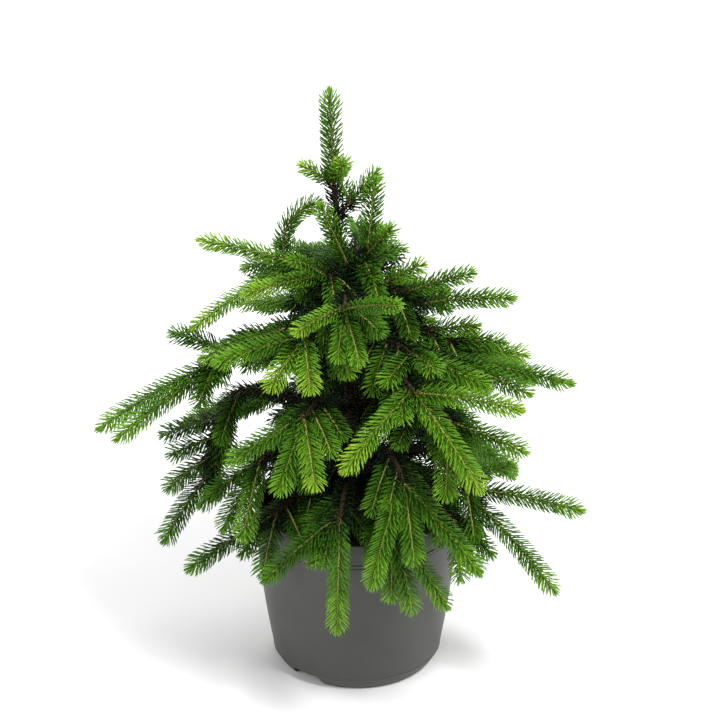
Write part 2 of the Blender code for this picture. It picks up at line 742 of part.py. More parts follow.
main()
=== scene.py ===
"""A young weeping spruce in its round nursery pot, dressed for a studio picture.

Metres, +Z up, the origin at the centre of the pot's underside. Bearings are in degrees: 0 points to
the front (-Y) and 90 to the right (+X). Pitches are in degrees above the horizontal.
"""

import logging
import math
import random
from collections.abc import Callable, Iterator, Sequence
from dataclasses import dataclass, field, replace
from enum import Enum

import bmesh
import bpy
import numpy as np
from mathutils import Matrix, Vector, noise


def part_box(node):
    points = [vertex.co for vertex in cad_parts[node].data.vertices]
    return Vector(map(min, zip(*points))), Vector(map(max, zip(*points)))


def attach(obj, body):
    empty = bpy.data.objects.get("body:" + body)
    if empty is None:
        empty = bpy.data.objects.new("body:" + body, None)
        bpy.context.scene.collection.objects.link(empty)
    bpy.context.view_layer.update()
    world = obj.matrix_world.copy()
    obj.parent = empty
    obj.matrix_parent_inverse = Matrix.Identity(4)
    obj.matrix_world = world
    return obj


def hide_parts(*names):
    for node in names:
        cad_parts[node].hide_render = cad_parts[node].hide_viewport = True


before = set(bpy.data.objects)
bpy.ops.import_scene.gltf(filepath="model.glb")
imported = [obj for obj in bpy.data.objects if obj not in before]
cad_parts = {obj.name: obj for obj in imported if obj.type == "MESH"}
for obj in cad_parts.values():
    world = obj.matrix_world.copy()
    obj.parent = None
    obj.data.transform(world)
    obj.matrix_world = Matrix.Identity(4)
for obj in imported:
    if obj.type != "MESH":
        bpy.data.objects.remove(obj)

LOG = logging.getLogger("spruce")
CM = 0.01
GOLDEN = 0.618
GOLDEN_TURN = 0.381966


# Finishes


@dataclass(frozen=True)
class Finish:
    """A plain finish: one colour and one roughness all over."""

    name: str
    color: tuple[float, float, float]
    roughness: float
    specular: float = 0.5

    def material(self) -> bpy.types.Material:
        """Builds the finish.

        Returns:
            A material with a Principled shader.
        """
        material = bpy.data.materials.new(self.name)
        material.use_nodes = True
        shader = material.node_tree.nodes["Principled BSDF"]
        shader.inputs["Base Color"].default_value = (*self.color, 1)
        shader.inputs["Roughness"].default_value = self.roughness
        shader.inputs["Specular IOR Level"].default_value = self.specular
        return material


@dataclass(frozen=True)
class MottledFinish(Finish):
    """A finish whose colour drifts towards a second one in soft patches, with a fine grain in relief."""

    second: tuple[float, float, float] = (0.1, 0.1, 0.1)
    patch: float = 60.0
    grain: float = 900.0
    relief: float = 0.0002
    stretch: tuple[float, float, float] = (1.0, 1.0, 1.0)
    patch_edges: tuple[float, float] = (0.38, 0.64)
    patch_detail: float = 4
    grain_strength: float = 0.6

    def material(self) -> bpy.types.Material:
        """Builds the finish with its patches and its grain.

        Returns:
            A material with a Principled shader fed by noise on object coordinates.
        """
        material = super().material()
        nodes, links = material.node_tree.nodes, material.node_tree.links
        shader = nodes["Principled BSDF"]
        place = nodes.new("ShaderNodeTexCoord")
        drawn = nodes.new("ShaderNodeMapping")
        drawn.inputs["Scale"].default_value = self.stretch
        links.new(place.outputs["Object"], drawn.inputs["Vector"])
        patches = nodes.new("ShaderNodeTexNoise")
        patches.inputs["Scale"].default_value = self.patch
        patches.inputs["Detail"].default_value = self.patch_detail
        links.new(drawn.outputs["Vector"], patches.inputs["Vector"])
        ramp = nodes.new("ShaderNodeValToRGB")
        for stop, edge, color in zip(ramp.color_ramp.elements, self.patch_edges, (self.color, self.second)):
            stop.position = edge
            stop.color = (*color, 1)
        links.new(patches.outputs["Fac"], ramp.inputs["Fac"])
        links.new(ramp.outputs["Color"], shader.inputs["Base Color"])
        fine = nodes.new("ShaderNodeTexNoise")
        fine.inputs["Scale"].default_value = self.grain
        links.new(drawn.outputs["Vector"], fine.inputs["Vector"])
        bump = nodes.new("ShaderNodeBump")
        bump.inputs["Distance"].default_value = self.relief
        bump.inputs["Strength"].default_value = self.grain_strength
        links.new(fine.outputs["Fac"], bump.inputs["Height"])
        links.new(bump.outputs["Normal"], shader.inputs["Normal"])
        return material


class Tone(Enum):
    """The greens of the needles, from this year's growth to the oldest inside the crown. The darker ones also
    carry painted shade, and the oldest are painted near black for the shade deep inside the crown.
    """

    TIP = Finish("needles_tip", (0.260, 0.465, 0.026), 0.42, 0.24)
    FRESH = Finish("needles_fresh", (0.150, 0.345, 0.014), 0.42, 0.24)
    GREEN = Finish("needles_green", (0.080, 0.222, 0.009), 0.44, 0.20)
    DEEP = Finish("needles_deep", (0.040, 0.122, 0.006), 0.48, 0.15)
    # The oldest needles: painted shade, near black for the shade deep inside the crown, darker than their own
    # green.
    OLD = Finish("needles_old", (0.008, 0.024, 0.005), 0.5, 0.2)


TONES = tuple(Tone)

POT_PLASTIC = MottledFinish("pot_plastic", (0.050, 0.052, 0.046), 0.46, 0.4, (0.060, 0.062, 0.055), 14, 1400,
                            0.00004)
PEAT = MottledFinish("peat", (0.022, 0.014, 0.009), 0.95, 0.2, (0.055, 0.034, 0.020), 260, 1500, 0.0005)
BARK = MottledFinish("bark", (0.050, 0.031, 0.021), 0.85, 0.2, (0.022, 0.014, 0.010), 220, 1300, 0.0003,
                     (1.0, 1.0, 0.35))
TWIG = Finish("twig_skin", (0.340, 0.330, 0.080), 0.6, 0.3)
BUD_SCALE = Finish("bud_scales", (0.300, 0.110, 0.038), 0.65, 0.3)
FLOOR_PAPER = Finish("floor_paper", (0.94, 0.94, 0.94), 0.9, 0.1)


# Lines in space


def heading(bearing: float, pitch: float) -> np.ndarray:
    """The unit vector of a bearing and a pitch in degrees."""
    turn, rise = math.radians(bearing), math.radians(pitch)
    return np.array([math.sin(turn) * math.cos(rise), -math.cos(turn) * math.cos(rise), math.sin(rise)])


def bezier(a: np.ndarray, b: np.ndarray, c: np.ndarray, d: np.ndarray, count: int) -> np.ndarray:
    """Points along a cubic curve from a to d, drawn towards b and c."""
    t = np.linspace(0, 1, count)[:, None]
    return (1 - t) ** 3 * a + 3 * t * (1 - t) ** 2 * b + 3 * t * t * (1 - t) * c + t**3 * d


def between(ends: tuple[float, float], share: float) -> float:
    """The value at a share of the way between two ends."""
    return ends[0] + (ends[1] - ends[0]) * share


def resampled(points: np.ndarray, step: float) -> np.ndarray:
    """The same line with its points about one step apart."""
    lengths = np.concatenate([[0.0], np.cumsum(np.linalg.norm(np.diff(points, axis=0), axis=1))])
    places = np.linspace(0, lengths[-1], max(4, round(lengths[-1] / step) + 1))
    return np.stack([np.interp(places, lengths, points[:, axis]) for axis in range(3)], axis=1)


# The pot and its soil


@dataclass(frozen=True)
class PotForm:
    """The round pot's sizes."""

    height: float = 0.180
    base_radius: float = 0.0768
    foot_radius: float = 0.0885
    foot_height: float = 0.014
    wall_top: float = 0.1545
    wall_top_radius: float = 0.1040
    swell: float = 1.65
    rim_radius: float = 0.1058
    wall: float = 0.0016
    floor_top: float = 0.0155
    recess_height: float = 0.0135
    ring_width: float = 0.0050
    pad_radius: float = 0.0300
    lip_round: float = 0.0009
    band_round: float = 0.0005
    bead: float = 0.0007
    groove: float = 0.0008
    bead_height: float = 0.0030
    bead_start: float = 0.0042
    groove_foot: float = 0.0010
    groove_end: float = 0.0022
    foot_line: float = 0.0005
    foot_line_half: float = 0.0003
    foot_line_room: float = 0.0010
    edge_round: float = 0.0009
    edge_out: float = 0.0004
    edge_top: float = 0.0012
    ring_slant: float = 0.002
    pad_slant: float = 0.003
    inside_points: int = 12
    wall_points: int = 26
    foot_points: int = 9
    steps: int = 160
    notch_bearings: tuple[float, ...] = (-38, 142)
    notch_width: float = 0.030
    notch_height: float = 0.0135
    notch_depth: float = 0.020
    notch_slope: float = 0.011

    def radius(self, height: float) -> float:
        """The outer radius of the wall at a height."""
        if height < self.foot_height:
            share = max(0.0, height / self.foot_height)
            return self.base_radius + (self.foot_radius - self.base_radius) * share**0.5
        if height > self.wall_top:
            return self.rim_radius
        share = (height - self.foot_height) / (self.wall_top - self.foot_height)
        return self.wall_top_radius + (self.foot_radius - self.wall_top_radius) * (1 - share) ** self.swell

    def clears(self, points: np.ndarray, room: float) -> bool:
        """Whether every point lies outside or above the pot by this much."""
        out = np.hypot(points[:, 0], points[:, 1])
        wall = np.array([self.radius(height) for height in points[:, 2]])
        return bool(np.all((out > wall + room) | (points[:, 2] > self.height + room)))

    def inner(self, height: float) -> float:
        """The inner radius of the wall at a height."""
        return min(self.radius(height), self.wall_top_radius) - self.wall


def arc(center: tuple[float, float], radius: float, start: float, end: float,
        count: int) -> list[tuple[float, float]]:
    """Points of a profile round a corner, by angles in degrees."""
    angles = np.radians(np.linspace(start, end, count))
    return [(center[0] + radius * math.cos(a), center[1] + radius * math.sin(a)) for a in angles]


def plain_mesh(obj: bpy.types.Object) -> bpy.types.Mesh:
    """The mesh that an object's modifiers make, as a mesh of its own."""
    bpy.context.view_layer.update()
    graph = bpy.context.evaluated_depsgraph_get()
    return bpy.data.meshes.new_from_object(obj.evaluated_get(graph), depsgraph=graph)


def placed(name: str, mesh: bpy.types.Mesh, material: bpy.types.Material | None = None) -> bpy.types.Object:
    """Puts a mesh in the scene at the origin.

    Args:
        name: The piece's name.
        mesh: Its mesh, in place.
        material: Its finish, or None to keep what the mesh has.

    Returns:
        The new object.
    """
    mesh.name = name
    obj = bpy.data.objects.new(name, mesh)
    if material is not None:
        mesh.materials.clear()
        mesh.materials.append(material)
    bpy.context.scene.collection.objects.link(obj)
    return obj


def mesh_from(bm: bmesh.types.BMesh) -> bpy.types.Mesh:
    """Turns an edited mesh into one for an object, and frees the edited one."""
    mesh = bpy.data.meshes.new("shape")
    bm.to_mesh(mesh)
    bm.free()
    return mesh


def applied(obj: bpy.types.Object) -> bpy.types.Object:
    """Makes what an object's modifiers show its own mesh."""
    mesh = plain_mesh(obj)
    obj.modifiers.clear()
    obj.data = mesh
    return obj


def shaded(mesh: bpy.types.Mesh, angle: float = 40) -> None:
    """Smooth shading with edges kept sharp past an angle in degrees."""
    mesh.shade_smooth()
    mesh.set_sharp_from_angle(angle=math.radians(angle))


@dataclass
class NurseryPot:
    """The moulded pot: wall, collar, foot line, foot ring with its notches, and the underside."""

    form: PotForm = field(default_factory=PotForm)

    def profile(self) -> list[tuple[float, float]]:
        """The pot's outline from the middle of the inside to the middle of the underside."""
        f = self.form
        lip = (f.rim_radius - f.lip_round, f.height - f.lip_round)
        inside = [(f.inner(z), z) for z in np.linspace(f.floor_top, f.height - f.lip_round, f.inside_points)]
        lip_inside = (inside[-1][0] + f.lip_round, f.height - f.lip_round)
        band = (f.rim_radius + f.bead - f.band_round, f.wall_top + 2 * f.band_round)
        groove = f.radius(f.wall_top) - f.groove
        wall = np.linspace(f.wall_top - f.groove_end, f.foot_height + f.foot_line_room, f.wall_points)
        foot = np.linspace(f.foot_height - f.foot_line_room, f.edge_top, f.foot_points)
        line = f.radius(f.foot_height) + f.foot_line
        edge = (f.base_radius + f.edge_out - f.edge_round, f.edge_round)
        ring = f.base_radius - f.ring_width
        return [
            (0.0, f.floor_top),
            *inside[:-1],
            *arc(lip_inside, f.lip_round, 180, 90, 4),
            *arc(lip, f.lip_round, 90, 0, 5),
            (f.rim_radius, f.wall_top + f.bead_start),
            (f.rim_radius + f.bead, f.wall_top + f.bead_height),
            *arc(band, f.band_round, 0, -90, 4),
            (groove, f.wall_top + f.band_round),
            (groove, f.wall_top - f.groove_foot),
            *[(f.radius(z), z) for z in wall],
            (line, f.foot_height + f.foot_line_half),
            (line, f.foot_height - f.foot_line_half),
            *[(f.radius(z), z) for z in foot],
            *arc(edge, f.edge_round, -20, -90, 4),
            (ring, 0.0),
            (ring - f.ring_slant, f.recess_height),
            (f.pad_radius + f.pad_slant, f.recess_height),
            (f.pad_radius, 0.0),
            (0.0, 0.0),
        ]

    def notch(self, bearing: float) -> bpy.types.Object:
        """A cutter for one notch in the foot ring, wider at the bottom."""
        f = self.form
        bm = bmesh.new()
        bmesh.ops.create_cube(bm, size=1.0)
        for vert in bm.verts:
            spread = f.notch_width / 2 + (f.notch_slope if vert.co.z < 0 else 0)
            height = f.notch_height if vert.co.z > 0 else -f.notch_height
            vert.co = (math.copysign(spread, vert.co.x), vert.co.y * 2 * f.notch_depth, height)
        turn = Matrix.Rotation(math.radians(bearing), 4, "Z")
        bm.transform(turn @ Matrix.Translation((0, -f.base_radius, 0)))
        return placed("notch", mesh_from(bm))

    def build(self) -> bpy.types.Object:
        """Turns the profile, cuts the notches and gives the pot its finish.

        Returns:
            The pot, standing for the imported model's pot.
        """
        pot = turned("nursery_pot", self.profile(), self.form.steps, POT_PLASTIC.material())
        cutters = [self.notch(bearing) for bearing in self.form.notch_bearings]
        for cutter in cutters:
            cut = pot.modifiers.new("notch", "BOOLEAN")
            cut.operation = "DIFFERENCE"
            cut.object = cutter
        applied(pot)
        for cutter in cutters:
            bpy.data.objects.remove(cutter, do_unlink=True)
        shaded(pot.data, 30)
        return claimed(pot, ["pot"])


def turned(name: str, profile: Sequence[tuple[float, float]], steps: int,
           material: bpy.types.Material) -> bpy.types.Object:
    """Turns a profile about the upright axis.

    Args:
        name: The piece's name.
        profile: Its (radius, height) points, down the outer side.
        steps: How many sides it gets.
        material: Its finish.

    Returns:
        The turned piece with its modifier applied.
    """
    mesh = bpy.data.meshes.new(name)
    mesh.from_pydata([(r, 0, z) for r, z in profile], [(k, k + 1) for k in range(len(profile) - 1)], [])
    obj = placed(name, mesh, material)
    screw = obj.modifiers.new("turn", "SCREW")
    screw.steps = screw.render_steps = steps
    screw.use_merge_vertices = True
    screw.merge_threshold = 0.00001
    screw.use_smooth_shade = True
    return applied(obj)


def claimed(obj: bpy.types.Object, nodes: Sequence[str]) -> bpy.types.Object:
    """Lets a piece ride on the plant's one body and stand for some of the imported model's nodes.

    Args:
        obj: The finished piece.
        nodes: The nodes that it stands for.

    Returns:
        The same piece.
    """
    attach(obj, "root")
    if nodes:
        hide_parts(*nodes)
    LOG.info("%s: %d faces, for %d nodes", obj.name, len(obj.data.polygons), len(nodes))
    return obj


@dataclass
class SoilBed:
    """The soil in the pot, with an uneven crumbly top."""

    pot: PotForm
    top: float = 0.162
    edge_drop: float = 0.003
    flat: float = 0.8
    room: float = 0.0004
    clearance: float = 0.0003
    relief: float = 0.0022
    rings: int = 34
    steps: int = 120
    crumbs: int = 900
    crumb_size: float = 0.0016
    crumb_margin: float = 0.004
    crumb_lift: float = 0.1
    wall_points: int = 10
    top_band: float = 0.0005
    edge_fade: float = 0.006
    lumps: tuple[tuple[float, float], ...] = ((60, 0.6), (240, 0.4))
    seed: int = 5

    def build(self) -> bpy.types.Object:
        """Turns the bed, roughens its top and strews it with crumbs.

        Returns:
            The soil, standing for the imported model's soil.
        """
        bottom, edge = self.pot.floor_top + self.clearance, self.top - self.edge_drop
        rim = self.pot.inner(edge) - self.room
        radii = np.linspace(0, rim, self.rings)
        heights = np.interp(radii, (0, rim * self.flat, rim), (self.top, self.top, edge))
        profile = [(r, float(z)) for r, z in zip(radii, heights)]
        walls = [(self.pot.inner(z) - self.room, z) for z in np.linspace(edge, bottom, self.wall_points)[1:]]
        material = PEAT.material()
        soil = turned("potting_soil", [*profile, *walls, (0.0, bottom)], self.steps, material)
        for vert in soil.data.vertices:
            if vert.co.z > edge - self.top_band:
                fade = min(1.0, (rim - math.hypot(vert.co.x, vert.co.y)) / self.edge_fade)
                place = Vector((vert.co.x, vert.co.y, 0))
                lift = sum(noise.noise(place * scale) * share for scale, share in self.lumps)
                vert.co.z += self.relief * max(0.0, fade) * lift
        shaded(soil.data, 60)
        crumbs = self.crumb_mesh(rim)
        joined = bmesh.new()
        joined.from_mesh(soil.data)
        joined.from_mesh(crumbs)
        joined.to_mesh(soil.data)
        joined.free()
        bpy.data.meshes.remove(crumbs)
        return claimed(soil, ["soil"])

    def crumb_mesh(self, rim: float) -> bpy.types.Mesh:
        """Small rough lumps strewn over the top of the bed.

        Args:
            rim: The bed's radius.

        Returns:
            One mesh with all of them.
        """
        rng = random.Random(self.seed)
        bm = bmesh.new()
        for _ in range(self.crumbs):
            out, turn = (rim - self.crumb_margin) * math.sqrt(rng.random()), rng.uniform(0, math.tau)
            size = self.crumb_size * rng.uniform(0.4, 1.3)
            height = self.top + size * self.crumb_lift
            place = Matrix.Translation((out * math.cos(turn), out * math.sin(turn), height))
            angle = rng.uniform(0, math.tau)
            tilt = Matrix.Rotation(angle, 4, Vector((rng.random(), rng.random(), 1)).normalized())
            shape = Matrix.Diagonal((size, size * rng.uniform(0.5, 1), size * rng.uniform(0.4, 0.8), 1))
            bmesh.ops.create_icosphere(bm, subdivisions=1, radius=1.0, matrix=place @ tilt @ shape)
        return mesh_from(bm)


# The plant's own rule: trunk, boughs and fans of shoots


@dataclass(frozen=True)
class TrunkForm:
    """The trunk's sizes, from its flat cut on the soil to its tip inside the top needles."""

    foot: float = 0.1623
    top: float = 0.520
    foot_radius: float = 0.0085
    tip_radius: float = 0.0024
    taper: float = 0.8
    offset: float = -0.0042
    lean: float = -0.018
    bow: float = 0.002
    flare_radius: float = 0.006
    flare_height: float = 0.012
    flare_lobes: int = 3
    flare_lobe_share: float = 0.10
    points: int = 16
    middle: float = 0.34
    bow_turn: float = 3
    point_power: float = 1.5

    def share(self, height: float) -> float:
        """How far up the trunk a height is, from 0 to 1."""
        return min(1.0, max(0.0, (height - self.foot) / (self.top - self.foot)))

    def at(self, height: float) -> np.ndarray:
        """The trunk's middle at a height: a lean that grows upwards and a slight bow."""
        share = self.share(height)
        back = self.bow * math.sin(self.bow_turn * share) ** 2
        return np.array([self.offset + self.lean * share**2, back, height])

    def radius(self, height: float) -> float:
        """The trunk's radius at a height."""
        share = self.share(height)
        taper = self.foot_radius + (self.tip_radius - self.foot_radius) * share**self.taper
        return taper + self.flare_radius * math.exp(-(height - self.foot) / self.flare_height)

    def line(self, points: int) -> np.ndarray:
        """Points up the trunk, closer together at the root flare."""
        shares = np.linspace(0, 1, points) ** self.point_power
        return np.array([self.at(self.foot + s * (self.top - self.foot)) for s in shares])


@dataclass(frozen=True)
class Bough:
    """One bough or bare stem and the fan of shoots at its end; lengths in centimetres, needles and all.

    start: height where it leaves the trunk; reach and height: where its needles begin;
    droop: its pitch there; stem: length the shoots leave from;
    first, middle, last: bearing, pitch and length of shoots in the fan; sag: how far each one nods.
    """

    name: str
    start: float
    bearing: float
    reach: float
    height: float
    droop: float
    stem: float
    count: int
    first: tuple[float, float, float]
    middle: tuple[float, float, float]
    last: tuple[float, float, float]
    sag: float = 12.0
    limb: bool = True


FRONT_BOUGHS = (
    Bough("top_right", 48.6, 105, -0.8, 49.7, 30, 0.8, 2,
          (112, 46, 4.9), (0, 0, 0), (200, 22, 3.6), 0, False),
    Bough("left_hoop", 41.6, -104, 6.2, 42.9, 40, 0.8, 1, (-84, 62, 8.8), (0, 0, 0), (0, 0, 0), -106, False),
    Bough("centre_rise", 43.2, -12, 1.6, 44.0, 45, 0.8, 1, (-54, 64, 8.0), (0, 0, 0), (0, 0, 0), 0, False),
    Bough("right_rise", 42.6, 50, 1.3, 44.9, 40, 0.8, 2, (48, 44, 5.4), (0, 0, 0), (146, 76, 7.8), -8, False),
    Bough("left_high", 41.0, -64, 5.6, 44.9, 10, 1.2, 2, (-87, -27, 12.8), (0, 0, 0), (-75, 27, 9.8)),
    Bough("left_inner", 42.2, -28, 4.6, 44.2, 10, 1.0, 2,
          (-57, 5, 10.0), (0, 0, 0), (-37, 38, 6.8), limb=False),
    Bough("front_high", 40.2, -4, 10.0, 43.4, 0, 1.2, 4, (-50, -1, 6.6), (6, -42, 6.0), (40, 25, 8.6)),
    Bough("left_front", 37.0, -22, 10.6, 40.4, 0, 1.4, 3, (-66, -2, 9.8), (-34, -22, 7.2), (8, -30, 6.2)),
    Bough("left_mid", 35.2, -50, 7.4, 39.2, 0, 1.2, 2,
          (-98, -28, 5.4), (0, 0, 0), (-76, -8, 9.0), limb=False),
    Bough("far_left", 33.5, -68, 13.0, 37.0, -45, 3.4, 3,
          (-106, 20, 6.2), (-80, -21, 13.7), (-60, -19, 11.4)),
    Bough("left_low", 27.4, -76, 13.0, 29.7, -75, 7.2, 4, (-92, -11, 7.0), (-69, -16, 5.8), (-59, -45, 8.8)),
    Bough("left_skirt", 19.0, -42, 10.4, 20.8, -20, 1.0, 3,
          (-97, -48, 6.8), (-67, -17, 10.9), (-22, -50, 6.6)),
    Bough("front_skirt", 20.5, -5, 12.4, 22.9, -15, 1.2, 4,
          (-57, -21, 10.4), (-48, -38, 4.6), (-3, -60, 11.4)),
    Bough("right_high", 39.0, 66, 2.4, 42.4, -15, 5.6, 3, (77, 35, 5.2), (74, 28, 8.0), (71, 18, 9.4)),
    Bough("right_mid", 34.5, 74, 7.0, 37.8, -18, 5.6, 3, (80, 16, 5.4), (79, 9, 5.8), (90, 2, 5.8)),
    Bough("right_reach", 33.6, 55, 10.4, 36.2, -10, 1.2, 2,
          (77, 1, 12.9), (0, 0, 0), (58, -4, 9.2), limb=False),
    Bough("right_inner", 35.0, 33, 9.8, 38.0, -10, 1.2, 3,
          (-32, -12, 5.4), (25, 12, 5.2), (66, -6, 8.2), limb=False),
    Bough("right_front", 32.5, 24, 13.4, 36.0, -10, 1.2, 3, (-47, -27, 10.8), (42, -31, 12.0), (63, 8, 11.4)),
    Bough("right_hang", 29.0, 38, 14.6, 32.6, -20, 1.2, 3,
          (-5, -40, 8.4), (28, -44, 5.6), (62, -4, 8.0), limb=False),
    Bough("front_right", 24.5, 19, 14.2, 27.4, -30, 1.2, 3,
          (-32, -52, 11.2), (22, -64, 8.4), (62, -38, 11.6)),
    Bough("front_right_skirt", 19.5, 17, 13.0, 21.8, -40, 1.2, 3,
          (-4, -70, 7.8), (38, -62, 8.8), (62, -44, 9.4), limb=False),
    Bough("right_low", 22.8, 60, 12.6, 24.0, -60, 3.2, 3, (98, 20, 5.6), (74, 2, 11.8), (64, -36, 12.4)),
    Bough("right_skirt", 18.8, 48, 12.4, 20.8, -30, 1.2, 3,
          (92, -38, 6.8), (62, -52, 6.6), (35, -70, 6.8), limb=False),
    Bough("front_left", 28.5, -20, 12.0, 33.0, -10, 1.4, 3, (-62, -16, 9.2), (-26, -40, 8.2), (12, -40, 7.4)),
    Bough("left_under", 24.0, -44, 11.6, 27.2, -15, 1.4, 3,
          (-80, -30, 8.6), (-50, -44, 8.4), (-18, -44, 8.4), limb=False),
)

# How much brighter or darker than the rule's own green a bough's shoots are: partly the bough's own green,
# partly painted light and painted shade for how the light falls on it
GREEN_AND_PAINTED_LIGHT = {
    "left_hoop": 0.1, "right_rise": -0.05, "left_high": 0.15, "left_inner": 0.15, "front_high": -0.05,
    "left_mid": -0.2, "far_left": -0.45, "left_low": -0.6, "left_under": -0.15, "left_skirt": -0.3,
    "front_skirt": -0.25, "right_reach": -0.2, "right_high": 0.1, "right_front": 0.2, "right_skirt": -0.3,
    "right_inner": -0.1, "right_hang": -0.1,
}

# How long a bough's needles are beside the rule's own
NEEDLE_SIZES = {
    "front_high": 0.82, "left_inner": 0.80, "left_high": 0.92, "left_hoop": 1.06, "front_skirt": 0.93,
    "front_right": 0.97, "front_right_skirt": 0.95,
}

# The leading shoot and its whorl: bearing, pitch, length and rise above the trunk's tip, in centimetres
LEADER_SHOOTS = ((-90, 88, 9.6, 0.0), (-90, 30, 4.2, 0.2), (20, 44, 4.4, 0.4), (160, 24, 3.8, 0.3))


@dataclass(frozen=True)
class Strand:
    """The middle line of a limb or shoot, and whose it is."""

    owner: str
    points: np.ndarray
    radius: float


@dataclass(frozen=True)
class Shoot:
    """One shoot: an even bend in the upright plane of its bearing."""

    owner: str
    base: np.ndarray
    bearing: float
    pitch: float
    length: float
    sag: float
    tone: Tone = Tone.GREEN
    needle: float = 1.0

    def line(self, step: float = 0.006) -> np.ndarray:
        """The shoot's middle, in steps of about this length."""
        count = max(4, round(self.length / step))
        points = [self.base]
        for k in range(count):
            way = heading(self.bearing, self.pitch - self.sag * (k + 0.5) / count)
            points.append(points[-1] + way * self.length / count)
        return np.array(points)


def distances(points: np.ndarray, strands: Sequence[Strand]) -> np.ndarray:
    """The distance of each point from the nearest surface of these strands."""
    starts = np.concatenate([s.points[:-1] for s in strands])
    along = np.concatenate([np.diff(s.points, axis=0) for s in strands])
    radii = np.concatenate([np.full(len(s.points) - 1, s.radius) for s in strands])
    offset = points[:, None, :] - starts[None, :, :]
    t = np.clip((offset * along).sum(-1) / (along * along).sum(-1), 0, 1)
    return (np.linalg.norm(offset - t[..., None] * along, axis=-1) - radii).min(axis=1)


@dataclass(frozen=True)
class BackForm:
    """The numbers of the boughs behind the trunk; lengths in centimetres, pairs from the top to the foot."""

    count: int = 12
    seed: int = 7
    heights: tuple[float, float] = (45, 21)
    bearing: float = 180
    spreads: tuple[float, float] = (22, 54)
    reaches: tuple[float, float] = (2.6, 13.2)
    lengths: tuple[float, float] = (6.0, 11.6)
    pitches: tuple[float, float] = (10, -36)
    droops: tuple[float, float] = (10, -30)
    stems: tuple[float, float] = (2.2, 3.0)
    fans: tuple[float, float] = (16, 42)
    rises: tuple[float, float] = (2.4, 3.6)
    turn: float = 8
    widening: float = 1.6
    nodding: float = 0.8
    sparse: float = 0.2
    shoots: tuple[int, int] = (3, 4)
    side_lift: float = 4
    side_share: float = 0.85
    middle_share: float = 1.05
    golden_start: float = 0.3


@dataclass(frozen=True)
class GreenAndPaintedLightRule:
    """How a shoot's green and needle size follow from its place: brighter far out and high up. This is partly
    the fresh growth on the outside and partly painted light and shade: brighter greens high up and outside
    where the light falls, darker ones low down and inside, painted shade.
    """

    # reach, out, rise and level paint light on the top and outside of the crown and shade low down and near
    # the trunk
    reach: float = 0.14
    out: float = 0.5
    rise: float = 2.0
    level: float = 0.25
    chance: float = 0.25
    fresh_above: float = 0.66
    green_above: float = 0.18
    top_start: float = 0.40
    top_span: float = 0.10
    top_needles: tuple[float, float] = (1.0, 0.93)
    upright: float = 60


@dataclass(frozen=True)
class FinerRule:
    """The numbers of the finer shoots: along each limb, and close round the trunk."""

    shortest_limb: float = 0.03
    spacing: float = 0.014
    step: float = 0.002
    start: float = 0.2
    stretch: float = 0.72
    sides: tuple[float, float] = (34, 70)
    lengths: tuple[float, float] = (0.036, 0.060)
    foot_length: float = 0.75
    length_gain: float = 0.35
    nods: tuple[float, float] = (8, 40)
    sag: float = 18
    needles: float = 0.92
    # Shoots past this share of a limb get brighter greens and those nearer the trunk darker ones: partly
    # older needles, partly painted shade inside the crown
    painted_light_share: float = 0.6
    room: float = 0.0055
    mate_share: float = 0.4
    pot_room: float = 0.004
    box_room: float = 0.03
    trunk_shoots: int = 150
    trunk_heights: tuple[float, float] = (0.19, 0.43)
    trunk_lengths: tuple[float, float] = (0.090, 0.030)
    trunk_pitches: tuple[float, float] = (-12, 28)
    trunk_chances: tuple[float, float] = (0.8, 1.1)
    trunk_pitch_chance: float = 12
    trunk_sag: float = 14
    trunk_needles: float = 0.9
    trunk_room: float = 0.0028
    # Below this height most trunk shoots take the near-black oldest green: painted shade under the crown
    painted_shade_below: float = 0.34
    height_weight: float = 12
    turn_weight: float = 60


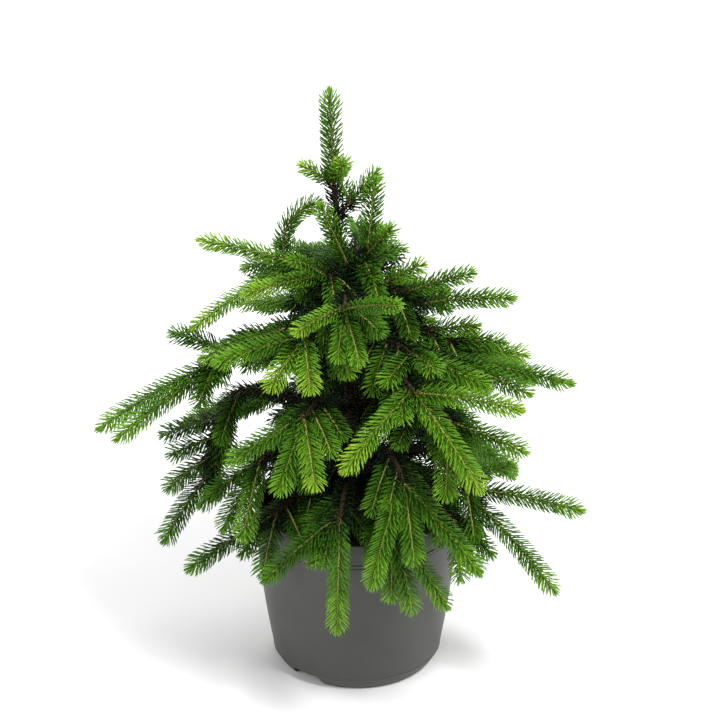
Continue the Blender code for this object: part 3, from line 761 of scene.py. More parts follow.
@dataclass
class GrowthRule:
    """Lays out the boughs and every shoot, first as in the solids and then on to finer ones."""

    trunk: TrunkForm = field(default_factory=TrunkForm)
    pot: PotForm = field(default_factory=PotForm)
    root_radius: float = 0.0036
    tip_radius: float = 0.0025
    rise: float = 20
    line_points: int = 6
    end_length: float = 0.002
    seat: float = 0.0005
    stem_points: int = 4
    core_room: float = 0.0065
    pot_room: float = 0.0060
    wobble: float = 2.0
    fan_seed: int = 3
    back: BackForm = field(default_factory=BackForm)
    tip_needles: float = 0.008
    long_stem: float = 2
    stem_starts: tuple[float, float] = (0.5, 0.15)
    turns: tuple[tuple[float, float], ...] = (
        (0, 0), (0, 7), (8, 0), (-8, 0), (0, -7), (10, 8), (-10, 8), (0, 14),
        (16, 0), (-16, 0), (14, -9), (-14, -9), (0, -14), (24, 6), (-24, 6))
    leader_needles: tuple[float, float] = (0.82, 1.16)
    clearance: float = 0.0003
    tones: GreenAndPaintedLightRule = field(default_factory=GreenAndPaintedLightRule)
    finer: FinerRule = field(default_factory=FinerRule)
    limbs: dict[str, np.ndarray] = field(default_factory=dict)
    boughs: list[Bough] = field(default_factory=list)
    shoots: list[Shoot] = field(default_factory=list)
    strands: list[Strand] = field(default_factory=list)

    def limb_line(self, bough: Bough, points: int) -> np.ndarray:
        """A limb's middle, from just clear of the trunk to where its needles begin."""
        height = bough.start * CM
        side = heading(bough.bearing, 0)
        start = self.trunk.at(height) + side * (self.trunk.radius(height) + self.seat)
        end = side * bough.reach * CM + np.array([self.trunk.offset, 0, bough.height * CM])
        span = np.linalg.norm(end - start) / 3
        rise, droop = heading(bough.bearing, self.rise), heading(bough.bearing, bough.droop)
        root, tip = start + side * self.end_length, end - droop * self.end_length
        line = bezier(root, root + rise * span, tip - droop * span, tip, points)
        return np.concatenate([[start], line, [end]])

    def stem_line(self, bough: Bough, limb: np.ndarray) -> np.ndarray:
        """The straight stem that a fan of shoots leaves from."""
        way = heading(bough.bearing, bough.droop) * bough.stem * CM
        return limb[-1] + np.linspace(0, 1, self.stem_points)[:, None] * way

    def back_boughs(self) -> list[Bough]:
        """Boughs behind the trunk, spread by the golden ratio, longer and lower towards the foot."""
        back = self.back
        rng = random.Random(back.seed)
        boughs = []
        for k in range(back.count):
            low = (k + 0.5) / back.count
            height = between(back.heights, low)
            wide = min(1, low * 2)
            spread, fan_turn = between(back.spreads, wide), between(back.fans, wide)
            bearing = back.bearing + between((-spread, spread), (k * GOLDEN + back.golden_start) % 1.0)
            length = between(back.lengths, wide) + rng.random()
            pitch = between(back.pitches, low**back.nodding)
            middle = bearing + rng.uniform(-back.turn, back.turn)
            side_length = length * back.side_share
            boughs.append(Bough(
                f"back_{k + 1}", height - between(back.rises, low), bearing,
                between(back.reaches, min(1, low * back.widening)), height,
                between(back.droops, low), between(back.stems, wide), back.shoots[low > back.sparse],
                (bearing - fan_turn, pitch + back.side_lift, side_length),
                (middle, pitch - back.side_lift, length * back.middle_share),
                (bearing + fan_turn, pitch + back.side_lift, side_length), limb=k % 2 == 0,
            ))
        return boughs

    def fan(self, bough: Bough, rng: random.Random) -> Iterator[tuple[float, float, float, float]]:
        """Each shoot's share of the stem, bearing, pitch and length, by a curve through three of them."""
        first, middle, last = (np.array(way, float) for way in (bough.first, bough.middle, bough.last))
        for k in range(bough.count):
            t = k / max(1, bough.count - 1)
            if bough.count < 3:
                way = first + (last - first) * t
            else:
                way = first * (1 - t) * (1 - 2 * t) + middle * 4 * t * (1 - t) + last * t * (2 * t - 1)
            wobble = rng.uniform(-self.wobble, self.wobble), rng.uniform(-self.wobble, self.wobble)
            yield t, way[0] + wobble[0], way[1] + wobble[1], way[2] * CM - self.tip_needles

    def is_free(self, line: np.ndarray, owners: tuple[str, ...], room: float) -> bool:
        """Whether a shoot's middle keeps off the pot, the limbs and the other masses."""
        if not self.pot.clears(line[1:], self.pot_room):
            return False
        others = [s for s in self.strands if s.owner not in owners]
        return bool(distances(line[1:], others).min() > room)

    def lay_out(self) -> None:
        """Lays out the limbs and the shoots that the solids have."""
        self.boughs = list(FRONT_BOUGHS) + self.back_boughs()
        trunk = self.trunk
        self.strands = [Strand("trunk", trunk.line(trunk.points), trunk.radius(trunk.middle))]
        for bough in self.boughs:
            line = self.limb_line(bough, self.line_points)
            self.limbs[bough.name] = line
            owner = "bough_" + bough.name if bough.limb else bough.name
            self.strands.append(Strand(owner, line, self.tip_radius))
            self.strands.append(Strand(bough.name, self.stem_line(bough, line), 0.0))
        rng = random.Random(self.fan_seed)
        tones = random.Random(self.fan_seed + 1)
        for bearing, pitch, length, rise in LEADER_SHOOTS:
            base = trunk.at(trunk.top) + np.array([0, 0, self.clearance + rise * CM])
            upright = pitch > self.tones.upright
            tone = Tone.GREEN if upright else Tone.FRESH
            size = self.leader_needles[upright]
            self.add(Shoot("leader", base, bearing, pitch, length * CM - self.tip_needles, 0, tone, size))
        for bough in self.boughs:
            stem = self.stem_line(bough, self.limbs[bough.name])
            for t, bearing, pitch, length in self.fan(bough, rng):
                start = self.stem_starts[bough.stem > self.long_stem]
                share = start + (1 - start) * t
                base = stem[0] + (stem[-1] - stem[0]) * share
                for turn, lift in self.turns:
                    shoot = Shoot(bough.name, base, bearing + turn, pitch + lift, length, bough.sag,
                                  self.tone(bough.name, base, tones),
                                  self.needle_size(base) * NEEDLE_SIZES.get(bough.name, 1.0))
                    if self.is_free(shoot.line(), (bough.name, "bough_" + bough.name), self.core_room):
                        self.add(shoot)
                        break

    def tone(self, name: str, base: np.ndarray, rng: random.Random) -> Tone:
        """The green of a shoot: brighter far out and high up, with some chance in it; partly fresh growth,
        partly painted light and painted shade.
        """
        rule = self.tones
        # Painted light high up and far out, painted shade low down and inside the crown
        score = rule.out * (math.hypot(base[0], base[1]) / rule.reach) + rule.rise * (base[2] - rule.level)
        # Each bough's own shift: partly its green, partly painted light and shade
        score = score + rng.uniform(-rule.chance, rule.chance) + GREEN_AND_PAINTED_LIGHT.get(name, 0.0)
        if score > rule.fresh_above:
            return Tone.FRESH
        return Tone.GREEN if score > rule.green_above else Tone.DEEP

    def needle_size(self, base: np.ndarray) -> float:
        """The share of full length that a shoot's needles have: a little shorter towards the top."""
        rule = self.tones
        return between(rule.top_needles, min(1.0, max(0.0, (base[2] - rule.top_start) / rule.top_span)))

    def add(self, shoot: Shoot) -> None:
        """Keeps a shoot and its line."""
        self.shoots.append(shoot)
        self.strands.append(Strand(shoot.owner, shoot.line(), 0.0))

    def try_finer(self, shoot: Shoot, room: float) -> bool:
        """Keeps a finer shoot on the first free course near its own, or leaves it out.

        Args:
            shoot: The shoot as the rule first gives it.
            room: How far its middle keeps off the others.

        Returns:
            Whether it was kept.
        """
        spare = self.finer.box_room
        low, high = (np.array(corner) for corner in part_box(shoot.owner))
        own = ("trunk", shoot.owner, "bough_" + shoot.owner)
        others = [s for s in self.strands if s.owner not in own]
        mates = [s for s in self.strands if s.owner == shoot.owner]
        for turn, lift in self.turns:
            tried = replace(shoot, bearing=shoot.bearing + turn, pitch=shoot.pitch + lift)
            line = tried.line()
            inside = (line >= low - spare).all() and (line <= high + spare).all()
            if not inside or not self.pot.clears(line[1:], self.finer.pot_room):
                continue
            if distances(line[2:], others).min() < room:
                continue
            if distances(line[2:], mates).min() < room * self.finer.mate_share:
                continue
            self.add(tried)
            return True
        return False

    def grow_finer(self) -> None:
        """Carries the rule on to finer shoots: along each limb, and close round the trunk."""
        rng = random.Random(self.fan_seed + 2)
        for bough in self.boughs:
            self.grow_along(bough, rng)
        for number in range(self.finer.trunk_shoots):
            self.grow_at_trunk(number, rng)

    def grow_along(self, bough: Bough, rng: random.Random) -> None:
        """Sets finer shoots along a limb and its stem, by turns to the left and the right.

        Args:
            bough: The bough that they grow on.
            rng: The source of chance.
        """
        rule, limb = self.finer, self.limbs[bough.name]
        course = resampled(np.concatenate([limb, self.stem_line(bough, limb)[1:]]), rule.step)
        length = np.linalg.norm(np.diff(course, axis=0), axis=1).sum()
        if length < rule.shortest_limb:
            return
        count = max(2, round(length / rule.spacing))
        for k in range(count):
            share = rule.start + rule.stretch * (k + 0.5) / count
            index = min(len(course) - 2, int(share * (len(course) - 1)))
            way = course[index + 1] - course[index]
            pitch = math.degrees(math.atan2(way[2], math.hypot(way[0], way[1])))
            side = (1 if k % 2 else -1) * rng.uniform(*rule.sides)
            reach = rng.uniform(*rule.lengths) * (rule.foot_length + rule.length_gain * share)
            # Painted shade: shoots near the trunk take the darkest greens, the outer ones brighter greens;
            # partly the older needles inside
            painted_lit = share > rule.painted_light_share
            tone = rng.choice((Tone.DEEP, Tone.DEEP, Tone.GREEN) if painted_lit else (Tone.OLD, Tone.DEEP))
            nod = pitch * 0.5 - rng.uniform(*rule.nods)
            bearing = bough.bearing + side
            shoot = Shoot(bough.name, course[index], bearing, nod, reach, rule.sag, tone, rule.needles)
            self.try_finer(shoot, rule.room)

    def grow_at_trunk(self, number: int, rng: random.Random) -> None:
        """Sets one finer shoot on the trunk, by the golden turn, for the bough that leaves nearest to it.

        Args:
            number: Which of them it is, from the foot up.
            rng: The source of chance.
        """
        rule = self.finer
        share = (number + 0.5) / rule.trunk_shoots
        height = between(rule.trunk_heights, share)
        bearing = (number * 360 * GOLDEN) % 360

        def farness(bough: Bough) -> float:
            """How far a bough leaves the trunk from this place, by height and by turn."""
            turn = abs((bough.bearing - bearing + 180) % 360 - 180)
            return abs(bough.start * CM - height) * rule.height_weight + turn / rule.turn_weight

        owner = min(self.boughs, key=farness)
        base = self.trunk.at(height) + heading(bearing, 0) * self.trunk.radius(height)
        chance = rule.trunk_pitch_chance
        pitch = between(rule.trunk_pitches, share) + rng.uniform(-chance, chance)
        length = between(rule.trunk_lengths, share) * rng.uniform(*rule.trunk_chances)
        # Painted shade: two in three low trunk shoots take the near-black oldest green
        tone = Tone.OLD if number % 3 and height < rule.painted_shade_below else Tone.DEEP
        shoot = Shoot(owner.name, base, bearing, pitch, length, rule.trunk_sag, tone, rule.trunk_needles)
        self.try_finer(shoot, rule.trunk_room)


# Wood with its relief


@dataclass
class Wood:
    """Trunk and limbs as tubes whose skin has leaf cushions, ridges and scales in relief."""

    rule: GrowthRule
    trunk_sides: int = 36
    limb_sides: int = 14
    ring_step: float = 0.0014
    scale_density: float = 260.0
    scale_depth: float = 0.00035
    cushion_depth: float = 0.00045
    cushion_pitch: float = 0.0042
    sunk: float = 0.004
    stem_share: float = 0.62
    stem_tip_radius: float = 0.0014
    collar_radius: float = 0.0016
    collar_length: float = 0.004
    limb_relief: float = 0.8
    trunk_points: int = 80
    limb_points: int = 24
    sharp_angle: float = 75

    def skin(self, line: np.ndarray, radius: Callable[[float, float], float], sides: int,
             relief: float) -> bpy.types.Mesh:
        """A closed tube along a line, with relief.

        Args:
            line: Its middle, in even steps.
            radius: Its radius by share of the length and by turn.
            sides: How many sides it has.
            relief: How strong the relief is, 1 for old bark.

        Returns:
            The tube's mesh.
        """
        tangents = np.gradient(line, axis=0)
        tangents /= np.linalg.norm(tangents, axis=1)[:, None]
        side = np.cross(tangents[0], (0.0, 0.0, 1.0) if abs(tangents[0][2]) < 0.9 else (0.0, 1.0, 0.0))
        side /= np.linalg.norm(side)
        step = np.linalg.norm(line[1] - line[0])
        points = []
        for k, (middle, way) in enumerate(zip(line, tangents)):
            side = side - way * (side @ way)
            side /= np.linalg.norm(side)
            up = np.cross(way, side)
            share, along = k / (len(line) - 1), k * step
            for j in range(sides):
                turn = math.tau * j / sides
                out = side * math.cos(turn) + up * math.sin(turn)
                size = radius(share, turn)
                place = middle + out * size
                rough = noise.noise(Vector(place) * self.scale_density)
                cushions = math.cos(3 * turn + math.tau * along / self.cushion_pitch)
                cushions *= math.cos(2 * turn - math.tau * along / self.cushion_pitch)
                lift = self.scale_depth * rough + self.cushion_depth * max(0.0, cushions) ** 2
                points.append(place + out * lift * relief)
        mesh = bpy.data.meshes.new("skin")
        rings = len(line)
        corners = [(j, (j + 1) % sides) for j in range(sides)]
        faces = [[k * sides + a, k * sides + b, (k + 1) * sides + b, (k + 1) * sides + a]
                 for k in range(rings - 1) for a, b in corners]
        faces += [list(range(sides))[::-1], [(rings - 1) * sides + j for j in range(sides)]]
        mesh.from_pydata([tuple(p) for p in points], [], faces)
        mesh.update()
        return mesh

    def build_trunk(self) -> bpy.types.Object:
        """The trunk, from its flat cut on the soil to its tip.

        Returns:
            The trunk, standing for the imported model's trunk.
        """
        form = self.rule.trunk
        line = resampled(form.line(self.trunk_points), self.ring_step)
        line[:, 2] = np.linspace(form.foot, form.top, len(line))
        line = np.array([form.at(z) for z in line[:, 2]])

        def radius(share: float, turn: float) -> float:
            """The trunk's radius with its flare drawn into lobes."""
            height = form.foot + share * (form.top - form.foot)
            fade = math.exp(-(height - form.foot) / form.flare_height)
            lobes = form.flare_lobe_share * fade * math.cos(form.flare_lobes * turn)
            return form.radius(height) * (1 + lobes)

        mesh = self.skin(line, radius, self.trunk_sides, 1.0)
        shaded(mesh, self.sharp_angle)
        return claimed(placed("trunk_bark", mesh, BARK.material()), ["trunk"])

    def build_limbs(self) -> bpy.types.Object:
        """Every limb with the stem of its fan, sunk into the trunk with a small collar.

        Returns:
            All limbs as one piece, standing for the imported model's boughs.
        """
        bm = bmesh.new()
        rule = self.rule
        for bough in rule.boughs:
            limb = rule.limb_line(bough, self.limb_points)
            stem = rule.stem_line(bough, limb)
            root = limb[0] - heading(bough.bearing, 0) * self.sunk
            line = resampled(np.concatenate([[root], limb, stem[1:]]), self.ring_step)
            length = np.linalg.norm(np.diff(line, axis=0), axis=1).sum()
            bare = 1 - bough.stem * CM / length
            slim = 1.0 if bough.limb else self.stem_share

            def radius(share: float, turn: float) -> float:
                """The limb's radius: a collar, an even taper, and a finer stem."""
                collar = self.collar_radius * math.exp(-share * length / self.collar_length)
                if share < bare:
                    return slim * between((rule.root_radius, rule.tip_radius), share / bare) + collar
                return slim * between((rule.tip_radius, self.stem_tip_radius), (share - bare) / (1 - bare))

            mesh = self.skin(line, radius, self.limb_sides, self.limb_relief)
            bm.from_mesh(mesh)
            bpy.data.meshes.remove(mesh)
        mesh = mesh_from(bm)
        shaded(mesh, self.sharp_angle)
        nodes = ["bough_" + b.name for b in rule.boughs if b.limb]
        nodes += [b.name for b in rule.boughs]
        return claimed(placed("limb_bark", mesh, BARK.material()), nodes)


# Needles


class Nodes:
    """A small helper that adds nodes to a Geometry Nodes tree and links them."""

    def __init__(self, name: str) -> None:
        """Starts a tree with this name."""
        self.tree = bpy.data.node_groups.new(name, "GeometryNodeTree")
        self.tree.is_modifier = True
        self.entry: bpy.types.Node | None = None

    def socket(self, name: str, kind: str, default: float | int | None = None) -> None:
        """Adds a named input to the tree."""
        made = self.tree.interface.new_socket(name=name, in_out="INPUT", socket_type="NodeSocket" + kind)
        if default is not None:
            made.default_value = default

    def given(self, name: str) -> bpy.types.NodeSocket:
        """The tree's own input with this name."""
        if self.entry is None:
            self.entry = self.tree.nodes.new("NodeGroupInput")
        return self.entry.outputs[name]

    def add(self, kind: str, inputs: dict[str | int, object] | None = None,
            **settings: object) -> bpy.types.Node:
        """Adds a node.

        Args:
            kind: Its type name.
            inputs: Its inputs by name or place: a socket to link or a value.
            settings: Properties to set on it.

        Returns:
            The new node.
        """
        node = self.tree.nodes.new(kind)
        for key, value in settings.items():
            setattr(node, key, value)
        for key, value in (inputs or {}).items():
            if isinstance(value, bpy.types.NodeSocket):
                self.tree.links.new(value, node.inputs[key])
            else:
                node.inputs[key].default_value = value
        return node

    def math(self, operation: str, first: object, second: object = 0.0) -> bpy.types.NodeSocket:
        """The result of one step of arithmetic."""
        return self.add("ShaderNodeMath", {0: first, 1: second}, operation=operation).outputs[0]

    def product(self, *factors: bpy.types.NodeSocket) -> bpy.types.NodeSocket:
        """The product of several values, from the first on."""
        result = factors[0]
        for factor in factors[1:]:
            result = self.math("MULTIPLY", result, factor)
        return result

    def attribute(self, name: str) -> bpy.types.NodeSocket:
        """The value that each point of the guide has under this name."""
        return self.add("GeometryNodeInputNamedAttribute", {"Name": name}, data_type="FLOAT").outputs[0]

    def chance(self, ends: tuple[float, float], offset: int) -> bpy.types.NodeSocket:
        """A random number for each point, by its index, the tree's seed and an offset of its own."""
        shifted = self.math("ADD", self.given("Seed"), float(offset))
        node = self.add("FunctionNodeRandomValue", {"Seed": shifted}, data_type="FLOAT")
        floats = [s for s in node.inputs if s.type == "VALUE"]
        for socket, end in zip(floats, ends):
            socket.default_value = end
        return next(s for s in node.outputs if s.type == "VALUE")

    def ramp(self, value: bpy.types.NodeSocket, places: tuple[float, float],
             results: tuple[float, float]) -> bpy.types.NodeSocket:
        """A value mapped from one range to another, clamped."""
        ends = dict(zip(("From Min", "From Max", "To Min", "To Max"), (*places, *results)))
        return self.add("ShaderNodeMapRange", {"Value": value, **ends}).outputs["Result"]

    def close(self, geometry: bpy.types.NodeSocket) -> bpy.types.NodeTree:
        """Realizes the instances, sets the finish and ends the tree in its output.

        Args:
            geometry: The socket that holds what was made.

        Returns:
            The finished tree.
        """
        real = self.add("GeometryNodeRealizeInstances", {0: geometry}).outputs[0]
        dressed = self.add("GeometryNodeSetMaterial", {"Geometry": real, "Material": self.given("Finish")})
        self.tree.interface.new_socket(name="Result", in_out="OUTPUT", socket_type="NodeSocketGeometry")
        self.add("NodeGroupOutput", {0: dressed.outputs[0]})
        return self.tree


@dataclass
class NeedleTree:
    """The rule that sets needles round a twig: swept forward, parted on top, in a rosette at the tip."""

    spacing: float = 0.00040
    length: float = 0.0172
    width: float = 0.00140
    full_share: float = 0.80
    bow: float = 0.6
    parting: float = 44.0
    foot_sweep: float = 52.0
    tip_sweep: float = 14.0
    tip_start: float = 0.90
    tip_length: float = 0.56
    foot_end: float = 0.14
    foot_length: float = 0.72
    up_turn: float = 270.0
    turn_chance: tuple[float, float] = (0, 0.025)
    sweep_chance: tuple[float, float] = (-3.5, 3)
    length_chance: tuple[float, float] = (0.94, 1.05)
    width_chance: tuple[float, float] = (0.85, 1.15)
    side_to_top: tuple[float, float] = (0.80, 1.06)
    foot_radius: float = 0.36
    full_radius: float = 0.5
    seed: int = 11

    def needle_form(self) -> bpy.types.Object:
        """One needle, 1 long and 1 wide, bowed a little, as a closed three-sided spindle."""
        bm = bmesh.new()
        bmesh.ops.create_cone(bm, cap_ends=True, segments=3, radius1=self.foot_radius,
                              radius2=self.full_radius, depth=self.full_share)
        for vert in bm.verts:
            vert.co.z += self.full_share / 2
        top = next(f for f in bm.faces if f.normal.z > 0.9)
        tip = bmesh.ops.poke(bm, faces=[top])["verts"][0]
        tip.co = (-self.bow, 0, 1.0)
        for face in bm.faces:
            face.smooth = True
        return placed("needle_form", mesh_from(bm))

    def build(self, form: bpy.types.Object) -> bpy.types.NodeTree:
        """Builds the tree of nodes.

        Args:
            form: The object that holds one needle.

        Returns:
            The tree, whose inputs are the twigs, the sizes, the seed and the finish.
        """
        n = Nodes("needles_on_twigs")
        n.socket("Twigs", "Geometry")
        n.socket("Spacing", "Float", self.spacing)
        n.socket("Needle length", "Float", self.length)
        n.socket("Needle width", "Float", self.width)
        n.socket("Parting", "Float", self.parting)
        n.socket("Seed", "Int", self.seed)
        n.socket("Finish", "Material")
        curve = n.add("GeometryNodeMeshToCurve", {0: n.given("Twigs")}).outputs[0]
        curve = n.add("GeometryNodeSetCurveNormal", {0: curve}, mode="Z_UP").outputs[0]
        points = n.add("GeometryNodeCurveToPoints", {"Curve": curve, "Length": n.given("Spacing")},
                       mode="LENGTH")
        share = n.attribute("share")
        roll = self.roll(n)
        sweep = n.math("ADD", n.ramp(share, (self.tip_start, 1.0), (self.foot_sweep, self.tip_sweep)),
                       n.chance(self.sweep_chance, 1))
        turned = points.outputs["Rotation"]
        for axis, angle in (((0.0, 0.0, 1.0), roll), ((0.0, 1.0, 0.0), sweep)):
            turn = n.add("FunctionNodeAxisAngleToRotation", {0: axis, 1: n.math("RADIANS", angle)})
            turned = n.add("FunctionNodeRotateRotation", {0: turned, 1: turn.outputs[0]},
                           rotation_space="LOCAL").outputs[0]
        one = n.add("GeometryNodeObjectInfo", {"Object": form})
        needles = n.add("GeometryNodeInstanceOnPoints", {
            "Points": points.outputs["Points"], "Instance": one.outputs["Geometry"],
            "Rotation": turned, "Scale": self.scale(n, share, roll)})
        return n.close(needles.outputs[0])

    def roll(self, n: Nodes) -> bpy.types.NodeSocket:
        """How far each needle is turned round its twig: by the golden turn, with a parting on top.

        Args:
            n: The tree.

        Returns:
            The socket that gives the turn.
        """
        index = n.add("GeometryNodeInputIndex").outputs[0]
        steps = n.math("MULTIPLY", index, GOLDEN_TURN)
        golden = n.math("FRACT", n.math("ADD", steps, n.chance(self.turn_chance, 0)))
        open_turn = n.math("SUBTRACT", 360.0, n.given("Parting"))
        half = n.math("MULTIPLY", n.given("Parting"), 0.5)
        return n.math("ADD", n.math("ADD", n.product(golden, open_turn), half), self.up_turn)

    def scale(self, n: Nodes, share: bpy.types.NodeSocket,
              roll: bpy.types.NodeSocket) -> bpy.types.NodeSocket:
        """How wide and long each needle is.

        Args:
            n: The tree.
            share: How far along its shoot the needle grows.
            roll: How far it is turned round the twig.

        Returns:
            The socket that gives the scale.
        """
        up = n.math("ABSOLUTE", n.math("COSINE", n.math("RADIANS", roll)))
        fuller = n.ramp(up, (0.0, 1.0), self.side_to_top)
        taper = n.product(n.ramp(share, (0.0, self.foot_end), (self.foot_length, 1.0)),
                          n.ramp(share, (self.tip_start, 1.0), (1.0, self.tip_length)))
        length = n.product(n.product(n.given("Needle length"), n.attribute("size")), taper)
        length = n.product(length, fuller, n.chance(self.length_chance, 2))
        width = n.product(n.given("Needle width"), n.chance(self.width_chance, 3))
        return n.add("ShaderNodeCombineXYZ", {0: width, 1: width, 2: length}).outputs[0]


@dataclass
class TwigTree:
    """The rule that makes a thin tapering skin along each twig."""

    radius: float = 0.0014
    sides: int = 5
    tip_share: float = 0.5

    def build(self) -> bpy.types.NodeTree:
        """Builds the tree of nodes.

        Returns:
            The tree, whose inputs are the twigs, their radius, their sides and the finish.
        """
        n = Nodes("twig_skin")
        n.socket("Twigs", "Geometry")
        n.socket("Radius", "Float", self.radius)
        n.socket("Sides", "Int", self.sides)
        n.socket("Finish", "Material")
        curve = n.add("GeometryNodeMeshToCurve", {0: n.given("Twigs")}).outputs[0]
        size = n.ramp(n.attribute("share"), (0.0, 1.0), (1.0, self.tip_share))
        ring = n.add("GeometryNodeCurvePrimitiveCircle",
                     {"Resolution": n.given("Sides"), "Radius": n.given("Radius")})
        skin = n.add("GeometryNodeCurveToMesh", {
            "Curve": curve, "Profile Curve": ring.outputs[0], "Scale": size, "Fill Caps": True})
        return n.close(n.add("GeometryNodeSetShadeSmooth", {0: skin.outputs[0]}).outputs[0])


@dataclass
class TwigPiece:
    """A stretch of a twig that takes one green."""

    owner: str
    points: np.ndarray
    shares: np.ndarray
    size: float


def twig_guide(name: str, pieces: Sequence[TwigPiece]) -> bpy.types.Object:
    """One object with an edge chain for each stretch of twig, with its share and size on each point.

    Args:
        name: The object's name.
        pieces: The stretches of twig.

    Returns:
        The guide object.
    """
    points, edges, shares, sizes = [], [], [], []
    for piece in pieces:
        start = len(points)
        points += [tuple(p) for p in piece.points]
        edges += [(start + k, start + k + 1) for k in range(len(piece.points) - 1)]
        shares += list(piece.shares)
        sizes += [piece.size] * len(piece.points)
    mesh = bpy.data.meshes.new(name)
    mesh.from_pydata(points, edges, [])
    for label, values in (("share", shares), ("size", sizes)):
        mesh.attributes.new(label, "FLOAT", "POINT").data.foreach_set("value", values)
    return placed(name, mesh)


def grown(name: str, guide: bpy.types.Object, tree: bpy.types.NodeTree,
          values: dict[str, object]) -> bpy.types.Object:
    """Runs a tree of nodes over a guide and keeps the result as a plain mesh.

    Args:
        name: The new piece's name.
        guide: The guide object, which is removed.
        tree: The tree of nodes.
        values: The tree's inputs by name.

    Returns:
        The new piece, at the origin.
    """
    modifier = guide.modifiers.new("growth", "NODES")
    modifier.node_group = tree
    for item in tree.interface.items_tree:
        if item.item_type == "SOCKET" and item.in_out == "INPUT" and item.name in values:
            modifier[item.identifier] = values[item.name]
    mesh = plain_mesh(guide)
    bpy.data.objects.remove(guide, do_unlink=True)
    for label in ("share", "size"):
        if label in mesh.attributes:
            mesh.attributes.remove(mesh.attributes[label])
    return placed(name, mesh)


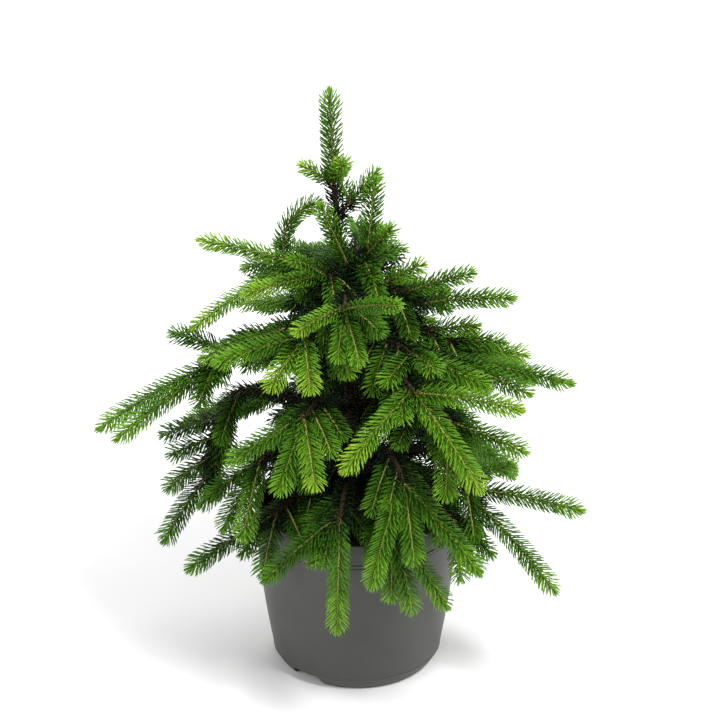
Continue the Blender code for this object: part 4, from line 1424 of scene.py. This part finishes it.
@dataclass
class Foliage:
    """The needles, twigs and bud scales of every mass."""

    rule: GrowthRule
    foot_share: tuple[float, float] = (0.12, 0.30)
    tip_share: tuple[float, float] = (0.62, 0.86)
    limb_spacing: float = 1.25
    bend_step: float = 0.004
    cut_step: float = 0.003
    twig_step: float = 0.005
    limb_points: int = 24
    bare_share: float = 0.12
    limb_shares: tuple[float, float] = (0.2, 0.7)
    limb_needles: float = 0.9
    trunk_from: float = 0.24
    trunk_points: int = 60
    trunk_needles: float = 0.95
    bud_scales: int = 9
    bud_spread: float = 0.003
    bud_turn: float = 0.3
    bud_tilts: tuple[float, float] = (20, 55)
    bud_sides: tuple[float, float] = (0.0006, 0.0017)
    bud_lengths: tuple[float, float] = (0.0036, 0.0058)
    bud_ends: tuple[float, float] = (0.9, 0.25)
    seed: int = 21

    def cut(self, shoot: Shoot, rng: random.Random) -> list[tuple[Tone, TwigPiece]]:
        """Splits a shoot where its green turns brighter towards the tip.

        Args:
            shoot: The shoot.
            rng: The source of chance.

        Returns:
            Each stretch with its green.
        """
        line = resampled(shoot.line(self.bend_step), self.cut_step)
        shares = np.linspace(0, 1, len(line))
        place = TONES.index(shoot.tone)
        if shoot.tone is Tone.OLD:
            return [(shoot.tone, TwigPiece(shoot.owner, line, shares, shoot.needle))]
        last = len(line) - 1
        foot = max(1, round(rng.uniform(*self.foot_share) * last))
        tip = max(foot + 1, min(last - 1, round(rng.uniform(*self.tip_share) * last)))
        tones = (TONES[place + 1], shoot.tone, TONES[max(0, place - 1)])
        return [(tone, TwigPiece(shoot.owner, line[low:high + 1], shares[low:high + 1], shoot.needle))
                for tone, low, high in zip(tones, (0, foot, tip), (foot, tip, last))]

    def limb_pieces(self) -> list[TwigPiece]:
        """The stretches of limb and trunk that still hold old needles."""
        pieces = []
        for bough in self.rule.boughs:
            stem = self.rule.stem_line(bough, self.rule.limbs[bough.name])
            line = np.concatenate([self.rule.limb_line(bough, self.limb_points), stem[1:]])
            limb = resampled(line, self.bend_step)
            kept = limb[int(len(limb) * self.bare_share):]
            shares = np.linspace(*self.limb_shares, len(kept))
            pieces.append(TwigPiece(bough.name, kept, shares, self.limb_needles))
        trunk = self.rule.trunk
        upper = np.array([trunk.at(z) for z in np.linspace(self.trunk_from, trunk.top, self.trunk_points)])
        shares = np.linspace(*self.limb_shares, len(upper))
        pieces.append(TwigPiece("leader", upper, shares, self.trunk_needles))
        return pieces

    def build(self) -> None:
        """Grows every kind of needle, the twigs and the bud scales."""
        rng = random.Random(self.seed)
        kinds: dict[Tone, list[TwigPiece]] = {tone: [] for tone in Tone}
        for shoot in self.rule.shoots:
            for tone, piece in self.cut(shoot, rng):
                kinds[tone].append(piece)
        # The old needles on limbs and trunk take the near-black oldest green: painted shade deep inside the
        # crown
        for piece in self.limb_pieces():
            kinds[Tone.OLD].append(piece)
        maker = NeedleTree()
        form = maker.needle_form()
        tree = maker.build(form)
        for number, (tone, pieces) in enumerate(kinds.items()):
            guide = twig_guide("guide", pieces)
            values = {"Seed": maker.seed + number, "Finish": tone.value.material()}
            if tone is Tone.OLD:
                values["Spacing"] = maker.spacing * self.limb_spacing
            piece = grown(tone.value.name, guide, tree, values)
            claimed(piece, sorted({p.owner for p in pieces}))
        bpy.data.objects.remove(form, do_unlink=True)
        self.build_twigs()
        self.build_bud_scales()

    def build_twigs(self) -> bpy.types.Object:
        """The skins of all shoots.

        Returns:
            All of them as one piece.
        """
        pieces = []
        for shoot in self.rule.shoots:
            line = resampled(shoot.line(self.bend_step), self.twig_step)
            pieces.append(TwigPiece(shoot.owner, line, np.linspace(0, 1, len(line)), 1.0))
        guide = twig_guide("guide", pieces)
        twigs = grown("twig_skin", guide, TwigTree().build(), {"Finish": TWIG.material()})
        return claimed(twigs, sorted({p.owner for p in pieces}))

    def build_bud_scales(self) -> bpy.types.Object:
        """The brown scales round the foot of each shoot.

        Returns:
            All of them as one piece.
        """
        rng = random.Random(self.seed + 1)
        bm = bmesh.new()
        for shoot in self.rule.shoots:
            way = Vector(heading(shoot.bearing, shoot.pitch))
            turn = way.to_track_quat("Z", "Y").to_matrix().to_4x4()
            for k in range(self.bud_scales):
                base = Vector(shoot.base) + way * rng.uniform(0.0, self.bud_spread)
                place = Matrix.Translation(base) @ turn
                angle = math.tau * k / self.bud_scales + rng.uniform(-self.bud_turn, self.bud_turn)
                place @= Matrix.Rotation(angle, 4, "Z")
                place @= Matrix.Rotation(math.radians(rng.uniform(*self.bud_tilts)), 4, "Y")
                place @= Matrix.Diagonal((*self.bud_sides, rng.uniform(*self.bud_lengths), 1))
                place @= Matrix.Translation((0, 0, 0.5))
                bmesh.ops.create_cone(bm, cap_ends=True, segments=4, radius1=self.bud_ends[0],
                                      radius2=self.bud_ends[1], depth=1.0, matrix=place)
        owners = sorted({shoot.owner for shoot in self.rule.shoots})
        return claimed(placed("bud_scales", mesh_from(bm), BUD_SCALE.material()), owners)


# The studio


@dataclass(frozen=True)
class SoftLight:
    """One soft round light: where it hangs, how wide and strong it is, and what it looks at."""

    name: str
    place: tuple[float, float, float]
    size: float
    power: float
    aim: tuple[float, float, float] = (0.0, 0.0, 0.28)

    def build(self) -> None:
        """Hangs the light."""
        lamp = bpy.data.lights.new(self.name, "AREA")
        lamp.shape = "DISK"
        lamp.size = self.size
        lamp.energy = self.power
        obj = bpy.data.objects.new(self.name, lamp)
        obj.location = self.place
        way = Vector(self.aim) - Vector(self.place)
        obj.rotation_euler = way.to_track_quat("-Z", "Y").to_euler()
        bpy.context.scene.collection.objects.link(obj)


LIGHTS = (
    SoftLight("key", (1.25, -1.55, 2.7), 1.0, 92),
    SoftLight("fill", (-1.9, -1.9, 1.9), 1.4, 30),
    SoftLight("back", (0.6, 2.1, 2.2), 1.4, 26),
    SoftLight("wash", (0.0, 2.6, 2.6), 2.4, 60, (0.0, 2.3, 0.0)),
)


@dataclass
class Studio:
    """A pale floor, soft light and the camera."""

    camera_place: tuple[float, float, float] = (0.0033, -1.865, 1.127)
    camera_pitch: float = -23.0
    lens: float = 100.65
    sensor_width: float = 36.0
    farthest: float = 100
    floor_size: float = 30.0
    world: float = 0.42

    def build(self) -> None:
        """Sets up the floor, the lights and the camera."""
        floor_mesh = bpy.data.meshes.new("floor")
        half = self.floor_size / 2
        corners = [(-half, -half, 0), (half, -half, 0), (half, half, 0), (-half, half, 0)]
        floor_mesh.from_pydata(corners, [], [(0, 1, 2, 3)])
        placed("floor", floor_mesh, FLOOR_PAPER.material())
        for light in LIGHTS:
            light.build()
        world = bpy.data.worlds.new("studio")
        world.use_nodes = True
        background = world.node_tree.nodes["Background"]
        background.inputs["Color"].default_value = (1.0, 1.0, 1.0, 1)
        background.inputs["Strength"].default_value = self.world
        bpy.context.scene.world = world
        camera = bpy.data.cameras.new("camera")
        camera.lens = self.lens
        camera.sensor_width = self.sensor_width
        camera.sensor_fit = "HORIZONTAL"
        camera.clip_end = self.farthest
        viewer = bpy.data.objects.new("camera", camera)
        viewer.location = self.camera_place
        viewer.rotation_euler = (math.radians(90 + self.camera_pitch), 0, 0)
        bpy.context.scene.collection.objects.link(viewer)
        bpy.context.scene.camera = viewer
        bpy.context.scene.view_settings.view_transform = "Standard"


def main() -> None:
    """Builds every sub-assembly."""
    logging.basicConfig(level=logging.INFO, format="%(name)s: %(message)s")
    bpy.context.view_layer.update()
    pot = PotForm()
    NurseryPot(pot).build()
    SoilBed(pot).build()
    rule = GrowthRule(pot=pot)
    rule.lay_out()
    LOG.info("%d shoots as in the solids", len(rule.shoots))
    rule.grow_finer()
    LOG.info("%d shoots with the finer ones", len(rule.shoots))
    wood = Wood(rule)
    wood.build_trunk()
    wood.build_limbs()
    Foliage(rule).build()
    Studio().build()


if __name__ == "__main__":
    main()
